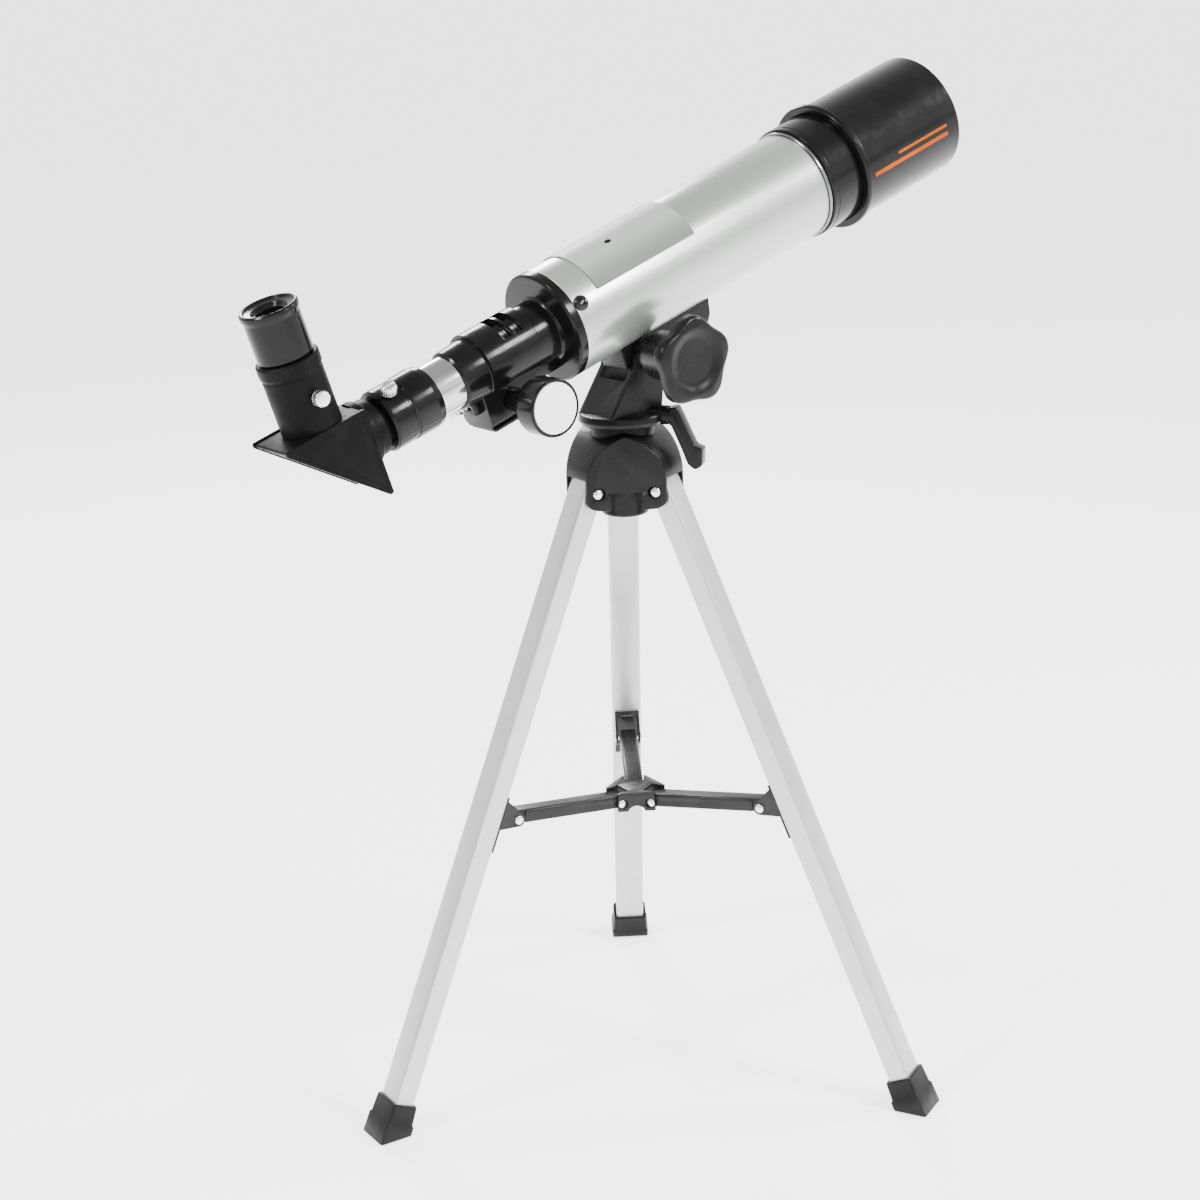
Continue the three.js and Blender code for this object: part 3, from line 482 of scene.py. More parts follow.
def place(obj, body, material, slot, *nodes):
    """Gives a piece its material and its body, and hides the CAD nodes it stands for. The slot argument is
    not used.
    """
    set_local(obj, LOCAL_FRAMES[obj.name])
    obj.data.materials.clear()
    obj.data.materials.append(material)
    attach(obj, body)
    if nodes:
        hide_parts(*nodes)
    return obj


def carry_over(node, material):
    """A CAD node that stays, with a better material."""
    obj = NODES[node]
    set_local(obj, Matrix.Scale(1 / MM, 4))
    obj.data.materials.clear()
    obj.data.materials.append(material)


# ---- tripod ----
LEG_WIDTH, LEG_DEPTH, LEG_WALL, LEG_HOLE = 17.0, 11.7, 1.3, 2.3
LEG_END, LEG_TOP = 362.0, 6.0
PIN_HEAD, PIN_SEAT = 3.0, 12.4
ARM_WIDTH, ARM_BELOW, ARM_ABOVE = 10.4, 2.8, 4.4
RIVET_SHANK, RIVET_HEAD, RIVET_HEIGHT, RIVET_HOLE = 1.2, 2.5, 1.3, 1.45
HUB_PIVOT = 13.0                # of a spreader arm from the hub's axis
PIN_RADIUS, PIN_Z = 25.0, 338.3     # of a leg's pin: from the tripod's axis, and its height
SPINDLE_HOLE = 4.2


def about_z(degrees):
    return Matrix.Rotation(math.radians(degrees), 4, "Z")


def section(width, depth, radius):
    w, d = width / 2, depth / 2
    return rounded([(-d, -w), (d, -w), (d, w), (-d, w)], radius, steps=4)


def leg(n):
    matrix = leg_frame(n)
    outer = prism(f"leg_tube_{n}", section(LEG_WIDTH, LEG_DEPTH, 1.5), -LEG_END, LEG_TOP, matrix, "XY")
    hollow = section(LEG_WIDTH - 2 * LEG_WALL, LEG_DEPTH - 2 * LEG_WALL, 0.6)
    bore = prism("bore", hollow, -LEG_END - 5, LEG_TOP + 5, matrix, "XY")
    cut(outer, bore, rod(LEG_HOLE, -20, 20, matrix, "Y", sides=32))
    return place(outer, f"leg_{n}", LEG_METAL, "satin_grey", f"leg_{n}")


def boot(n):
    """A moulded rubber boot: a snug mouth, a flared foot and a level sole."""
    matrix = leg_frame(n)
    profile = [(-16, 1.55), (2.5, 1.25), (3.4, 0.55), (12.6, 0.2), (13.8, 0)]
    wall = 1.6
    rings = []
    for above_end, flare in profile:
        grow = 2 * (wall + flare)
        outline = section(LEG_WIDTH + grow, LEG_DEPTH + grow, 1.8)
        rings.append([(x, y, above_end - LEG_END) for x, y in outline])
    obj = loft(f"boot_{n}", rings, matrix)
    socket = prism("socket", section(LEG_WIDTH + 0.4, LEG_DEPTH + 0.4, 1.3), -LEG_END - 0.3, 0, matrix, "XY")
    floor = box("floor_cut", 100, 300, -60, 60, -60, 0, station(n))
    cut(obj, socket, floor)
    soften(obj, 0.45, 2, 50)
    return place(obj, f"leg_{n}", RUBBER, "boot_rubber", f"leg_boot_{n}")


def headed_pin(name, shank, head, reach, height, matrix):
    """A pin along local Y with a domed head at each end."""
    angles = [i * math.pi / 16 for i in range(9)]
    dome = [(head * math.cos(a), height * (0.25 + 0.75 * math.sin(a))) for a in angles]
    right = [(shank, reach), (head, reach)] + [(r, reach + h) for r, h in dome]
    left = [(r, -s) for r, s in reversed(right)]
    profile = [(0, left[0][1])] + left[1:] + right[:-1] + [(0, right[-1][1])]
    return turned(name, profile, matrix, "Y", sides=32)


def leg_pin(n):
    obj = headed_pin(f"hip_pin_{n}", 2.0, PIN_HEAD, PIN_SEAT, 2.6, pin_frame(n))
    return place(obj, "tripod_crown", BRIGHT, "bright_steel", f"leg_pin_{n}")


def arm_frame(n):
    """Along a spreader arm: origin on its inner pivot, X towards its outer pivot."""
    inner = joint_place(f"arm_hinge_{n}")
    low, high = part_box(f"outer_rivet_{n}")
    outer = (low + high) / 2
    along = (outer - inner).normalized()
    across = station(n).to_3x3().col[1].normalized()
    return frame_matrix(along, across, along.cross(across), inner), (outer - inner).length / MM, outer


def channel_outline(half, low, high, corner):
    """An upright rectangle for rounded(), with its two upper corners to be rounded."""
    return [(-half, low, 0), (-half, high, corner), (half, high, corner), (half, low, 0)]


def spreader_arm(n):
    """A pressed channel, open below, with rounded shoulders and a narrower end for the bracket's ears."""
    matrix, length, _ = arm_frame(n)
    half = ARM_WIDTH / 2
    body = rounded(channel_outline(half, -ARM_BELOW, ARM_ABOVE, 1.7), 0)
    outer = prism(f"arm_{n}", body, -ARM_BELOW, length + 2.4, matrix, "YZ")
    wall = 1.0
    inner = rounded(channel_outline(half - wall, -9, ARM_ABOVE - wall, 1), 0)
    channel = prism("channel", inner, -9, length + 9, matrix, "YZ")
    heel = [(-12, -12), (-12, 9), (-2.2, 9)] + arc(0, 0.7, 3.6, 130, 265, 12) + [(0, -12)]
    toe = [(length + 12, -12), (length + 12, 9), (length + 1.0, 9)]
    toe += list(reversed(arc(length, 0.6, 3.0, -90, 60, 12))) + [(length, -12)]
    cut(outer, channel, prism("inner_end", heel, -9, 9, matrix), prism("outer_end", toe, -9, 9, matrix))
    for x in (0, length):
        cut(outer, rod(RIVET_HOLE, -9, 9, shifted(matrix, x, 0, 0), "Y", sides=24))
    for low, high in ((-9, -4.3), (4.3, 9)):
        cut(outer, box("notch", length - 5.4, length + 9, low, high, -9, 9, matrix))
    soften(outer, 0.25, 2)
    return place(outer, f"spreader_arm_{n}", BLACK_ENAMEL, "black_enamel", f"spreader_arm_{n}")


def bracket(n):
    """The pressed bracket on a leg's inner face: a strip with a slot and two rounded ears."""
    matrix = leg_frame(n)
    _, _, pivot = arm_frame(n)
    x, _, z = matrix.inverted() @ pivot
    face = -LEG_DEPTH / 2 - 0.1
    strip = box(f"bracket_{n}", face - 1.5, face, -7.2, 7.2, z - 20.5, z + 10.6, matrix)
    window = [(-3.6, z + 6.4), (3.6, z + 6.4), (3.6, z + 8.8), (-3.6, z + 8.8)]
    slot = prism("slot", rounded(window, 0.9), -20, 5, matrix, "YZ")
    ears = []
    for low, high in ((-7.2, -6.0), (6.0, 7.2)):
        outline = [(face - 0.4, z + 9)] + arc(x, z, 4.0, 100, 260, 16) + [(face - 0.4, z - 8)]
        ears.append(prism("ear", outline, low, high, matrix))
    fuse(strip, *ears)
    cut(strip, slot, rod(RIVET_HOLE, -12, 12, shifted(matrix, x, 0, z), "Y", sides=24))
    soften(strip, 0.3, 2)
    return place(strip, f"leg_{n}", BLACK_ENAMEL, "black_enamel", f"leg_bracket_{n}")


def rivets(n):
    matrix, _, outer = arm_frame(n)
    shift = Matrix.Translation(outer - matrix.translation)
    pin = headed_pin(f"arm_rivet_{n}", RIVET_SHANK, RIVET_HEAD, 7.35, RIVET_HEIGHT, shift @ matrix)
    place(pin, f"leg_{n}", BRIGHT, "bright_steel", f"outer_rivet_{n}")
    pin = headed_pin(f"centre_rivet_{n}", RIVET_SHANK, RIVET_HEAD, 6.8, RIVET_HEIGHT, matrix)
    place(pin, "spreader_hub", BRIGHT, "bright_steel", f"hub_rivet_{n}")


def spreader_hub():
    """A three-sided pressed cap: a flat top, walls with arched lower edges, and open corners."""
    centre = joint_place("arm_hinge_1")
    matrix = Matrix.Translation((0, 0, centre.z)) @ station(1)
    half, reach = 6.7, 15.6
    turns = [about_z(120 * k) for k in range(3)]
    corners = []
    for turn in turns:
        for y in (-half, half):
            point = turn @ Vector((reach, y, 0))
            corners.append((point.x, point.y))
    outer = prism("hub_cap", rounded(corners, 1.2, steps=3), -4.5, 6.1, matrix, "XY")
    wall = 1.2
    for turn in turns:
        third = matrix @ turn
        slot = box("slot", 0, 30, wall - half, half - wall, -20, 4.9, third)
        corner = box("corner", 7.9, 30, wall - half, half - wall, 0, 20, third)
        arch = rod(5.2, 3, 30, shifted(third @ about_z(60), 0, 0, -6.4), "X", sides=48)
        pivot = shifted(third, HUB_PIVOT, 0, 0)
        hole = rod(RIVET_HOLE, -20, 20, pivot, "Y", sides=24)
        spans = ((-20, -half - 0.1), (half + 0.1, 20))
        spots = [rod(RIVET_HEAD + 0.2, low, high, pivot, "Y", sides=32) for low, high in spans]
        cut(outer, slot, corner, arch, hole, *spots)
    soften(outer, 0.35, 2)
    return place(outer, "spreader_hub", BLACK_ENAMEL, "black_enamel", "spreader_hub")


def crown():
    """Three arched hoods over the legs, three flat facets between them, a round boss below."""
    base, rise, radius, facet = 345.0, 26.0, 30.5, 24.5
    matrix = station(1)
    thirds = [matrix @ about_z(120 * k) for k in range(3)]
    body = None
    for third in thirds:
        outline = [(-80, 329), (radius, 329)] + arc(0, base, radius, 0, 90, 28, rise) + [(-80, base + rise)]
        vault = prism("crown_body", outline, -60, 60, third)
        body = vault if body is None else common(body, vault)
    for third in thirds:
        common(body, box("facet", -80, facet, -60, 60, 300, 400, third @ about_z(60)))
    soften(body, 1.3, 4)
    ears = None
    for third in thirds:
        under = [(-60, 300), (19.6, 300), (19.6, 336), (21.4, 338.6), (-60, 338.6)]
        skirt = prism("skirt", under, -60, 60, third)
        ears = skirt if ears is None else common(ears, skirt)
    cut(body, ears)
    for third in thirds:
        for low, high in ((-30, -8.4), (8.4, 30)):
            round_ear(body, third, low, high)
    rim = rounded([(0, 322), (13, 322, 2.2), (13, 341)], 2, closed=False)
    boss = turned("boss", rim + [(0, 341)], matrix, "Z")
    fuse(body, boss, rod(17.4, 360, 371.6, matrix, "Z"))
    for third in thirds:
        above = arc(PIN_RADIUS, PIN_Z, 9.0, 40, 180, 16)
        slot = [(14.2, 300), (60, 300), (60, 344.3)] + above + [(14.2, 338)]
        cutters = [prism("slot", slot, -8.95, 8.95, third)]
        pin = shifted(third, PIN_RADIUS, 0, PIN_Z)
        for low, high in ((-40, -12.1), (12.1, 40)):
            cutters.append(rod(PIN_HEAD + 0.3, low, high, pin, "Y", sides=32))
        cut(body, *cutters)
    well = [(0, 300), (8.6, 300), (8.6, 332), (SPINDLE_HOLE, 332), (SPINDLE_HOLE, 380), (0, 380)]
    cut(body, turned("well", well, matrix, "Z", sides=48))
    soften(body, 0.3, 2, 45)
    return place(body, "tripod_crown", SATIN_BLACK, "black_satin", "crown")


def round_ear(body, third, low, high):
    """Rounds the outer lower corner of an ear about its leg's pin, over a span of local Y."""
    x, z, radius, floor = 24.6, 335.3, 6.2, 325.0
    corner = [(38.6, floor), (38.6, PIN_Z)] + arc(x, z, radius, 0, -90, 10) + [(x, floor)]
    cut(body, prism("ear_corner", corner, low, high, third))


# ---- mount head ----
FORK_INNER, FORK_OUTER, FORK_TIP, FORK_ROUND = 10.6, 14.6, 7.6, 9.4
DISC_LOW, DISC_HIGH, DISC_RADIUS = 372.0, 378.6, 23.8
BOLT_HOLE = 3.4
KNOB_R, KNOB_LOBE, KNOB_TURN = 22.4, 1.6, 90
KNOB_NEAR, KNOB_FACE_Y = -46.0, -54.0
DISH_WALL = 0.34                # share of the dish's radius taken by its sloping wall


def azimuth_head():
    """Turntable disc, a column whose rear slopes up to the fork, and the fork that carries the tube."""
    matrix = TRIPOD_FRAME
    x, z = FORK_X, FORK_Z
    rim = [(0, DISC_LOW), (DISC_RADIUS - 1.4, DISC_LOW), (DISC_RADIUS, DISC_LOW + 2.6),
           (DISC_RADIUS - 0.8, DISC_HIGH - 0.6), (12, DISC_HIGH + 0.6), (0, DISC_HIGH + 0.6)]
    disc = turned("head_body", rounded(rim, 1.6, closed=False), matrix, "Z")
    outline = [(-18.6, DISC_HIGH - 1), (15.6, DISC_HIGH - 1), (x + 10.4, 400), (x + FORK_TIP, z),
               (x - FORK_TIP, z), (-2.2, 402)]
    column = prism("column", outline, -FORK_OUTER, FORK_OUTER, matrix)
    ends = [(0, -FORK_OUTER), (FORK_ROUND, -FORK_OUTER), (FORK_TIP, -FORK_INNER),
            (FORK_TIP, FORK_INNER), (FORK_ROUND, FORK_OUTER), (0, FORK_OUTER)]
    fuse(column, turned("tips", ends, shifted(matrix, x, 0, z), "Y", sides=64))
    cut(column, box("slot", -6, 60, -FORK_INNER, FORK_INNER, 395, 440, matrix))
    soften(column, 0.8, 3)
    lock = lock_frame()
    boss = turned("boss", [(0, 14), (5.6, 14), (5.6, 25.8), (5.0, 26.6), (0, 26.6)], lock, "X", sides=48)
    cut(boss, box("under", -60, 60, -60, 60, 330, DISC_LOW, matrix))
    fuse(disc, column, boss)
    screw = rod(3.3, 8, 40, lock, "X", sides=32)
    bolt = rod(BOLT_HOLE, -40, 40, ALTITUDE_FRAME, "Y", sides=32)
    cut(disc, screw, bolt, rod(SPINDLE_HOLE, 360, 389, matrix, "Z", sides=32))
    return place(disc, "azimuth_head", SATIN_BLACK, "black_satin", "azimuth_head")


def lock_frame():
    """Local X out along the clamp lever's screw."""
    return shifted(TRIPOD_FRAME, 0, 0, LOCK_Z) @ Matrix.Rotation(LOCK_YAW, 4, "Z")


def azimuth_lock():
    """The clamp screw's hanging wing: a thumb pad that curls outwards below its boss."""
    matrix = lock_frame()
    outline = [(27.2, 5.2), (31.2, 5.4), (33.6, 0.6), (40.6, -15.4, 4), (44.8, -17.2), (44.4, -26.6, 3),
               (40.2, -28.8, 2.4), (36.4, -25.4), (33.2, -17.0, 4), (29.6, -8.6), (27.4, -3.4)]
    wing = prism("lock_wing", rounded(outline, 1.4), -5, 5, matrix)
    soften(wing, 1.1, 3)
    collar, stem = rod(5.4, 26.9, 28.4, matrix, "X", sides=48), rod(3, 9.5, 29, matrix, "X", sides=32)
    fuse(wing, collar, stem)
    return place(wing, "azimuth_lock", SATIN_BLACK, "black_satin", "azimuth_lock")


def lobe_outline(radius, depth, steps=120):
    """Five shallow lobes with hollows between them."""
    points = []
    for i in range(steps):
        angle = 2 * math.pi * i / steps
        r = radius + depth * math.cos(5 * (angle - math.radians(KNOB_TURN)))
        points.append((r * math.cos(angle), r * math.sin(angle)))
    return points


def dish_depth(share):
    """How deep the dish is, from 0 at its rim to 1 at its floor, with a soft lip and a soft foot."""
    reach = min(share / DISH_WALL, 1)
    return reach * reach * (3 - 2 * reach)


def altitude_knob():
    """Five-lobed hand knob with rolled edges, a dished face and a hub that reaches the fork."""
    rings = []
    rolled = ((0, 1.8), (0.06, 0.8), (0.16, 0.15), (0.24, 0), (0.72, 0), (0.82, 0.2), (0.93, 0.9), (1, 2.1))
    for along, shrink in rolled:
        y = KNOB_NEAR + (KNOB_FACE_Y - KNOB_NEAR) * along
        rings.append([(a, y, b) for a, b in lobe_outline(KNOB_R - shrink, KNOB_LOBE)])
    cap = loft("hand_knob", rings, ALTITUDE_FRAME)
    wide, deep, steps = 17.5, 2.0, 24
    shares = [i / steps for i in range(steps + 1)]
    hollow = [(wide * (1 - share), KNOB_FACE_Y + deep * dish_depth(share)) for share in shares]
    mouth = [(0, -60), (wide + 0.4, -60), (wide + 0.4, KNOB_FACE_Y - 0.02)]
    cut(cap, turned("dish", mouth + hollow, ALTITUDE_FRAME, "Y", sides=128))
    neck = [(0, KNOB_NEAR - 1), (15.4, KNOB_NEAR - 1), (14, KNOB_NEAR + 2), (13.2, -25), (9.4, -17),
            (9, -14.9), (0, -14.9)]
    fuse(cap, turned("sleeve", neck, ALTITUDE_FRAME, "Y"))
    cut(cap, rod(3.2, -41.3, 0, ALTITUDE_FRAME, "Y", sides=32))
    return place(cap, "altitude_knob", SATIN_BLACK, "black_satin", "altitude_knob")


# ---- optical tube ----
TUBE_R, TUBE_REAR, TUBE_FRONT = 30.0, -48.0, 131.0
SCREW_ANGLES = (154, 34, 274)
SCREW_HOLE = 1.9


def screw_frame(angle):
    """Local Z out of the tube at an angle above the horizontal, as seen from its rear towards +Y."""
    turn = Matrix.Rotation(math.radians(angle - 90), 4, "X")
    return shifted(TUBE @ turn, TUBE_REAR + 4, 0, 0)


def ring_outline(inner, outer, low, high, radius):
    """A tube's wall, cut along its axis, with rounded corners."""
    return rounded([(inner, low), (outer, low), (outer, high), (inner, high)], radius, steps=3)


def main_tube():
    wall = ring_outline(TUBE_R - 0.8, TUBE_R, TUBE_REAR, TUBE_FRONT, 0.3)
    obj = turned("white_tube", wall, TUBE, closed=True, sides=160)
    for angle in SCREW_ANGLES:
        cut(obj, rod(SCREW_HOLE, 25, 36, screw_frame(angle), "Z", sides=24))
    return place(obj, "optical_tube", TUBE_PAINT, "white_enamel", "main_tube")


def label_plate():
    """A blank plate laid over the top of the tube, with a small sight dot in front of its rear end."""
    half = math.radians(61) * TUBE_R
    outline = rounded([(-31, -half), (38.4, -half), (38.4, half), (-31, half)], 0.8)
    obj = wrapped("blank_plate", outline, TUBE_R + 0.3, 0.4, TUBE)
    place(obj, "optical_tube", PLATE_FOIL, "grey_plate", "label_plate")
    across = math.radians(20.5) * TUBE_R
    dot = [(-5.6 + s, across + w) for s, w in arc(0, 0, 2.0, 0, 360, 24, 1.5)[:-1]]
    mark = wrapped("plate_dot", dot, TUBE_R + 0.66, 0.14, TUBE, 0.6)
    place(mark, "optical_tube", GLOSS_BLACK, "black_gloss")


def flange_screws():
    for n, angle in enumerate(SCREW_ANGLES, 1):
        matrix = screw_frame(angle)
        angles = [i * math.pi / 20 for i in range(10)]
        dome = [(4.0 * math.cos(a), TUBE_R + 0.8 + 2.2 * math.sin(a)) for a in angles] + [(0, TUBE_R + 3.0)]
        shank = [(0, 25), (1.6, 25), (1.6, TUBE_R + 0.1), (4.1, TUBE_R + 0.1), (4.1, TUBE_R + 0.7)]
        head = turned(f"tube_screw_{n}", shank + dome, matrix, "Z", sides=40)
        for turn in (20, 110):
            cut(head, box("slot", -1.9, 1.9, -0.4, 0.4, TUBE_R + 1.6, TUBE_R + 4, matrix @ about_z(turn)))
        place(head, "optical_tube", SCREW_BLACK, "black_screw", f"flange_screw_{n}")


def front_end():
    """Trim ring, lens cell, sliding dew shield, and the two lenses with their retaining ring."""
    trim = turned("front_trim", ring_outline(29.4, 31.0, 131.25, 133.2, 0.5), TUBE, closed=True, sides=160)
    place(trim, "optical_tube", TRIM_STEEL, "bright_steel", "trim_ring")
    outline = [(25.4, 119.6), (28.7, 119.6), (28.7, 133.5), (31.4, 133.5), (32, 134.2), (32, 136.6),
               (31.75, 136.9), (31.75, 137.7), (32, 138.0), (32, 171), (31, 172), (27.4, 172), (27.4, 157),
               (24.6, 157), (24.6, 154), (25.4, 152)]
    cell = turned("lens_cell", outline, TUBE, closed=True, sides=128)
    place(cell, "optical_tube", GLOSS_BLACK, "black_gloss", "objective_cell")
    shell = [(32.35, 156), (36.1, 156, 1.0), (36.7, 157.4, 0.6), (36.7, 159.2, 0.7), (35.2, 160.4, 0.6),
             (34.5, 161.0, 0.4), (34.5, 234, 1.1), (32.9, 234, 0.7), (32.9, 174, 0.2), (32.35, 173.4, 0.2)]
    shield = turned("shield_shell", rounded(shell, 0.2), TUBE, closed=True, sides=160)
    place(shield, "dew_shield", GLOSS_BLACK, "black_gloss", "dew_shield")
    ring = turned("lens_ring", ring_outline(25.4, 27.1, 163.6, 167.4, 0.3), TUBE, closed=True)
    place(ring, "optical_tube", INNER_BLACK, "black_enamel", "lens_retaining_ring")
    for node, radius, low, high, low_bulge, high_bulge in (
            ("flint_lens", 27, 157.4, 160.6, -0.3, -1.1), ("crown_lens", 27, 161, 163.2, 1.0, 1.4)):
        lens = lens_piece(f"{node}_glass", radius, low, high, low_bulge, high_bulge, TUBE, "X")
        place(lens, "optical_tube", LENS, "optical_glass", node)


def lens_piece(name, radius, low, high, low_bulge, high_bulge, matrix, axis):
    """A lens from low to high at its rim, whose faces bulge by so much at the axis."""
    steps = 12
    rear = [(radius * i / steps, low - low_bulge * (1 - (i / steps) ** 2)) for i in range(steps + 1)]
    front = [(radius * i / steps, high + high_bulge * (1 - (i / steps) ** 2)) for i in range(steps, -1, -1)]
    return turned(name, rear + front, matrix, axis)


def shield_print():
    """Two plain orange trim lines printed on the dew shield's side."""
    radius = 34.5
    for name, start, degrees, width in (("print_long", 164, 99, 2.4), ("print_short", 184, 91, 1.6)):
        middle, end = math.radians(degrees) * radius, 224
        low, high = middle - width / 2, middle + width / 2
        outline = [(start, low), (end, low), (end, high), (start, high)]
        obj = wrapped(name, rounded(outline, 0.7), radius + 0.02, 0.08, TUBE, 0.5)
        place(obj, "dew_shield", ORANGE, "black_gloss")


def tube_bracket():
    """The moulded block under the tube: a saddle, a rounded knuckle in the fork and a sloping nose."""
    block = box("saddle_block", -17, 49.6, -10, 10, -41, -24, TUBE)
    pivot = shifted(TUBE, ALT_S, 0, ALT_V)
    fuse(block, rod(9.6, -10, 10, pivot, "Y", sides=64))
    nose = prism("nose", [(41, -46), (60, -46), (60, -20), (49.9, -20), (46.8, -37)], -20, 20, TUBE)
    cut(block, nose)
    soften(block, 0.8, 3)
    cut(block, rod(TUBE_R + 0.25, -60, 80, TUBE, "X", sides=160))
    cut(block, rod(BOLT_HOLE, -40, 40, pivot, "Y", sides=32))
    return place(block, "optical_tube", SATIN_BLACK, "black_satin", "tube_bracket")


# ---- focuser ----
PINION_S, PINION_V = -91.0, -20.6
DRAW_R = 14.25


def focuser_housing():
    """Flange, barrel with a raised, slotted saddle, and the pinion box under it."""
    profile = [(0, -117), (15.0, -117, 0.6), (15.9, -115.8, 0.4), (16.7, -104.2, 0.6), (16.7, -102.2, 0.3),
               (17, -101.6, 0.3), (17, -55.4, 0.8), (18.4, -54, 0.8), (29.0, -54, 0.8), (30.2, -53, 0.5),
               (30.2, -48.3, 0.2), (28.9, -48.3, 0.1), (28.9, -36, 0.4), (0, -36)]
    body = turned("focuser_body", rounded(profile, 0, closed=False), TUBE)
    raised = [(15, -101.2), (18.7, -101.2), (18.7, -68.2), (15, -68.2)]
    saddle = turned("raised", rounded(raised, 0.1), TUBE, closed=True)
    keep = prism("keep", [(-22, -1.5), (22, -1.5), (22, 30), (-22, 30)], -120, -60, TUBE, "YZ")
    common(saddle, keep)
    soften(saddle, 1.1, 3)
    box_section = [(-12.4, -6), (12.4, -6), (12.4, -27.5, 2.4), (9.6, -30.6, 1.2), (-9.6, -30.6, 1.2),
                   (-12.4, -27.5, 2.4)]
    pinion_box = prism("pinion_box", rounded(box_section, 0.2), -108, -74, TUBE, "YZ")
    soften(pinion_box, 0.9, 3)
    pad = box("pad", -112, -54, -6.4, 6.4, -21.4, -8, TUBE)
    soften(pad, 0.8, 2)
    fuse(body, saddle, pinion_box, pad)
    hollow = rod(26.6, -51, -30, TUBE, "X")
    bore = rod(DRAW_R + 0.25, -130, -40, TUBE, "X")
    rack_way = box("rack_way", -130, -40, -3.6, 3.6, -18.6, 0, TUBE)
    pocket = box("pocket", -99, -83, -5.4, 5.4, -29.6, -10, TUBE)
    axle = rod(2.4, -30, 30, shifted(TUBE, PINION_S, 0, PINION_V), "Y", sides=32)
    cut(body, hollow, bore, rack_way, pocket, axle)
    for s in (-84.2, -76.8):
        for half, low in ((2.2, DRAW_R - 1), (2.9, 16.6)):
            groove = [(low, s - half), (22, s - half), (22, s + half), (low, s + half)]
            slot = turned("slot", groove, TUBE, closed=True)
            keep = prism("keep", [(-14.8, 8.4), (8, 8.4), (8, 30), (-14.8, 30)], -120, -60, TUBE, "YZ")
            cut(body, common(slot, keep))
    for angle in SCREW_ANGLES:
        cut(body, rod(SCREW_HOLE, 20, 36, screw_frame(angle), "Z", sides=24))
    return place(body, "optical_tube", GLOSS_BLACK, "black_gloss", "focuser_housing")


def pinion_cover():
    """The plate under the pinion box, with its four screw heads."""
    outline = [(-106.4, -10.8), (-75.6, -10.8), (-75.6, 10.8), (-106.4, 10.8)]
    plate = prism("box_cover", rounded(outline, 1.6), -32.6, -30.9, TUBE, "XY")
    soften(plate, 0.4, 2)
    for s in (-103.2, -78.8):
        for y in (-7.4, 7.4):
            dome = [(0, -33.4), (1.2, -33.3), (1.9, -32.9), (2.0, -32.4), (0, -32.4)]
            fuse(plate, turned("head", dome, shifted(TUBE, s, y, 0), "Z", sides=24))
    return place(plate, "optical_tube", BLACK_ENAMEL, "black_enamel", "pinion_cover")


def focus_knobs():
    """Smooth drum knobs with a thin rolled lip round a bright disc in the face."""
    inner, outer, radius = 32.0, 48.0, 15.05
    for side, word in ((1, "left"), (-1, "right")):
        mirror = Matrix.Scale(side, 4, (0, 1, 0))
        matrix = shifted(TUBE, PINION_S, 0, PINION_V) @ mirror
        profile = [(0, inner), (12.6, inner, 1), (14.3, inner + 1.4, 0.8), (radius, inner + 3.4, 0.8),
                   (radius, outer - 0.9, 0.6), (14.5, outer, 0.4), (13.75, outer, 0.2),
                   (13.5, outer - 1.5, 0.1), (0, outer - 1.5)]
        drum = turned(f"focus_drum_{word}", rounded(profile, 0.1, closed=False), matrix, "Y", sides=120)
        hub = [(0, 13), (5.6, 13), (6.2, 13.6), (6.2, inner + 0.5), (0, inner + 0.5)]
        fuse(drum, turned("hub", hub, matrix, "Y", sides=48))
        cut(drum, rod(2.5, 0, outer - 1.8, matrix, "Y", sides=32))
        place(drum, "focus_shaft", GLOSS_BLACK, "black_gloss", f"focus_knob_{word}")
        disc = [(0, outer - 1.15), (13.2, outer - 1.15), (13.2, outer - 0.25), (12.9, outer - 0.05),
                (0, outer - 0.05)]
        cap = turned(f"focus_disc_{word}", disc, matrix, "Y")
        place(cap, "focus_shaft", KNOB_FACE, "knob_face", f"focus_cap_{word}")


def drawtube():
    wall = ring_outline(DRAW_R - 1, DRAW_R, -150, -22, 0.3)
    obj = turned("chrome_tube", wall, TUBE, closed=True, sides=128)
    return place(obj, "drawtube", CHROME, "chrome", "drawtube")


COLLAR_SCREW_S, COLLAR_SCREW_ANGLE = -156.5, 60


def collar_screw_frame():
    """Local Z out of the collar towards the -Y side, above the horizontal."""
    turn = Matrix.Rotation(math.radians(90 - COLLAR_SCREW_ANGLE), 4, "X")
    return shifted(TUBE @ turn, COLLAR_SCREW_S, 0, 0)


def drawtube_collar():
    """The black collar that joins the drawtube to the diagonal's nose."""
    outline = [(12.5, -163), (15.6, -163, 0.8), (16.5, -161.4, 0.5), (16.5, -150.6, 0.4), (16.0, -150.0, 0.2),
               (16.0, -149.0, 0.2), (16.7, -148.4, 0.4), (16.9, -136, 1.0), (16.2, -132, 0.9),
               (14.55, -132, 0.2), (14.55, -150.3, 0.1), (12.5, -150.3, 0.1)]
    obj = turned("tube_collar", rounded(outline, 0.1), TUBE, closed=True, sides=128)
    cut(obj, rod(SCREW_HOLE, 5, 30, collar_screw_frame(), "Z", sides=24))
    return place(obj, "drawtube", GLOSS_BLACK, "black_gloss", "drawtube_collar")


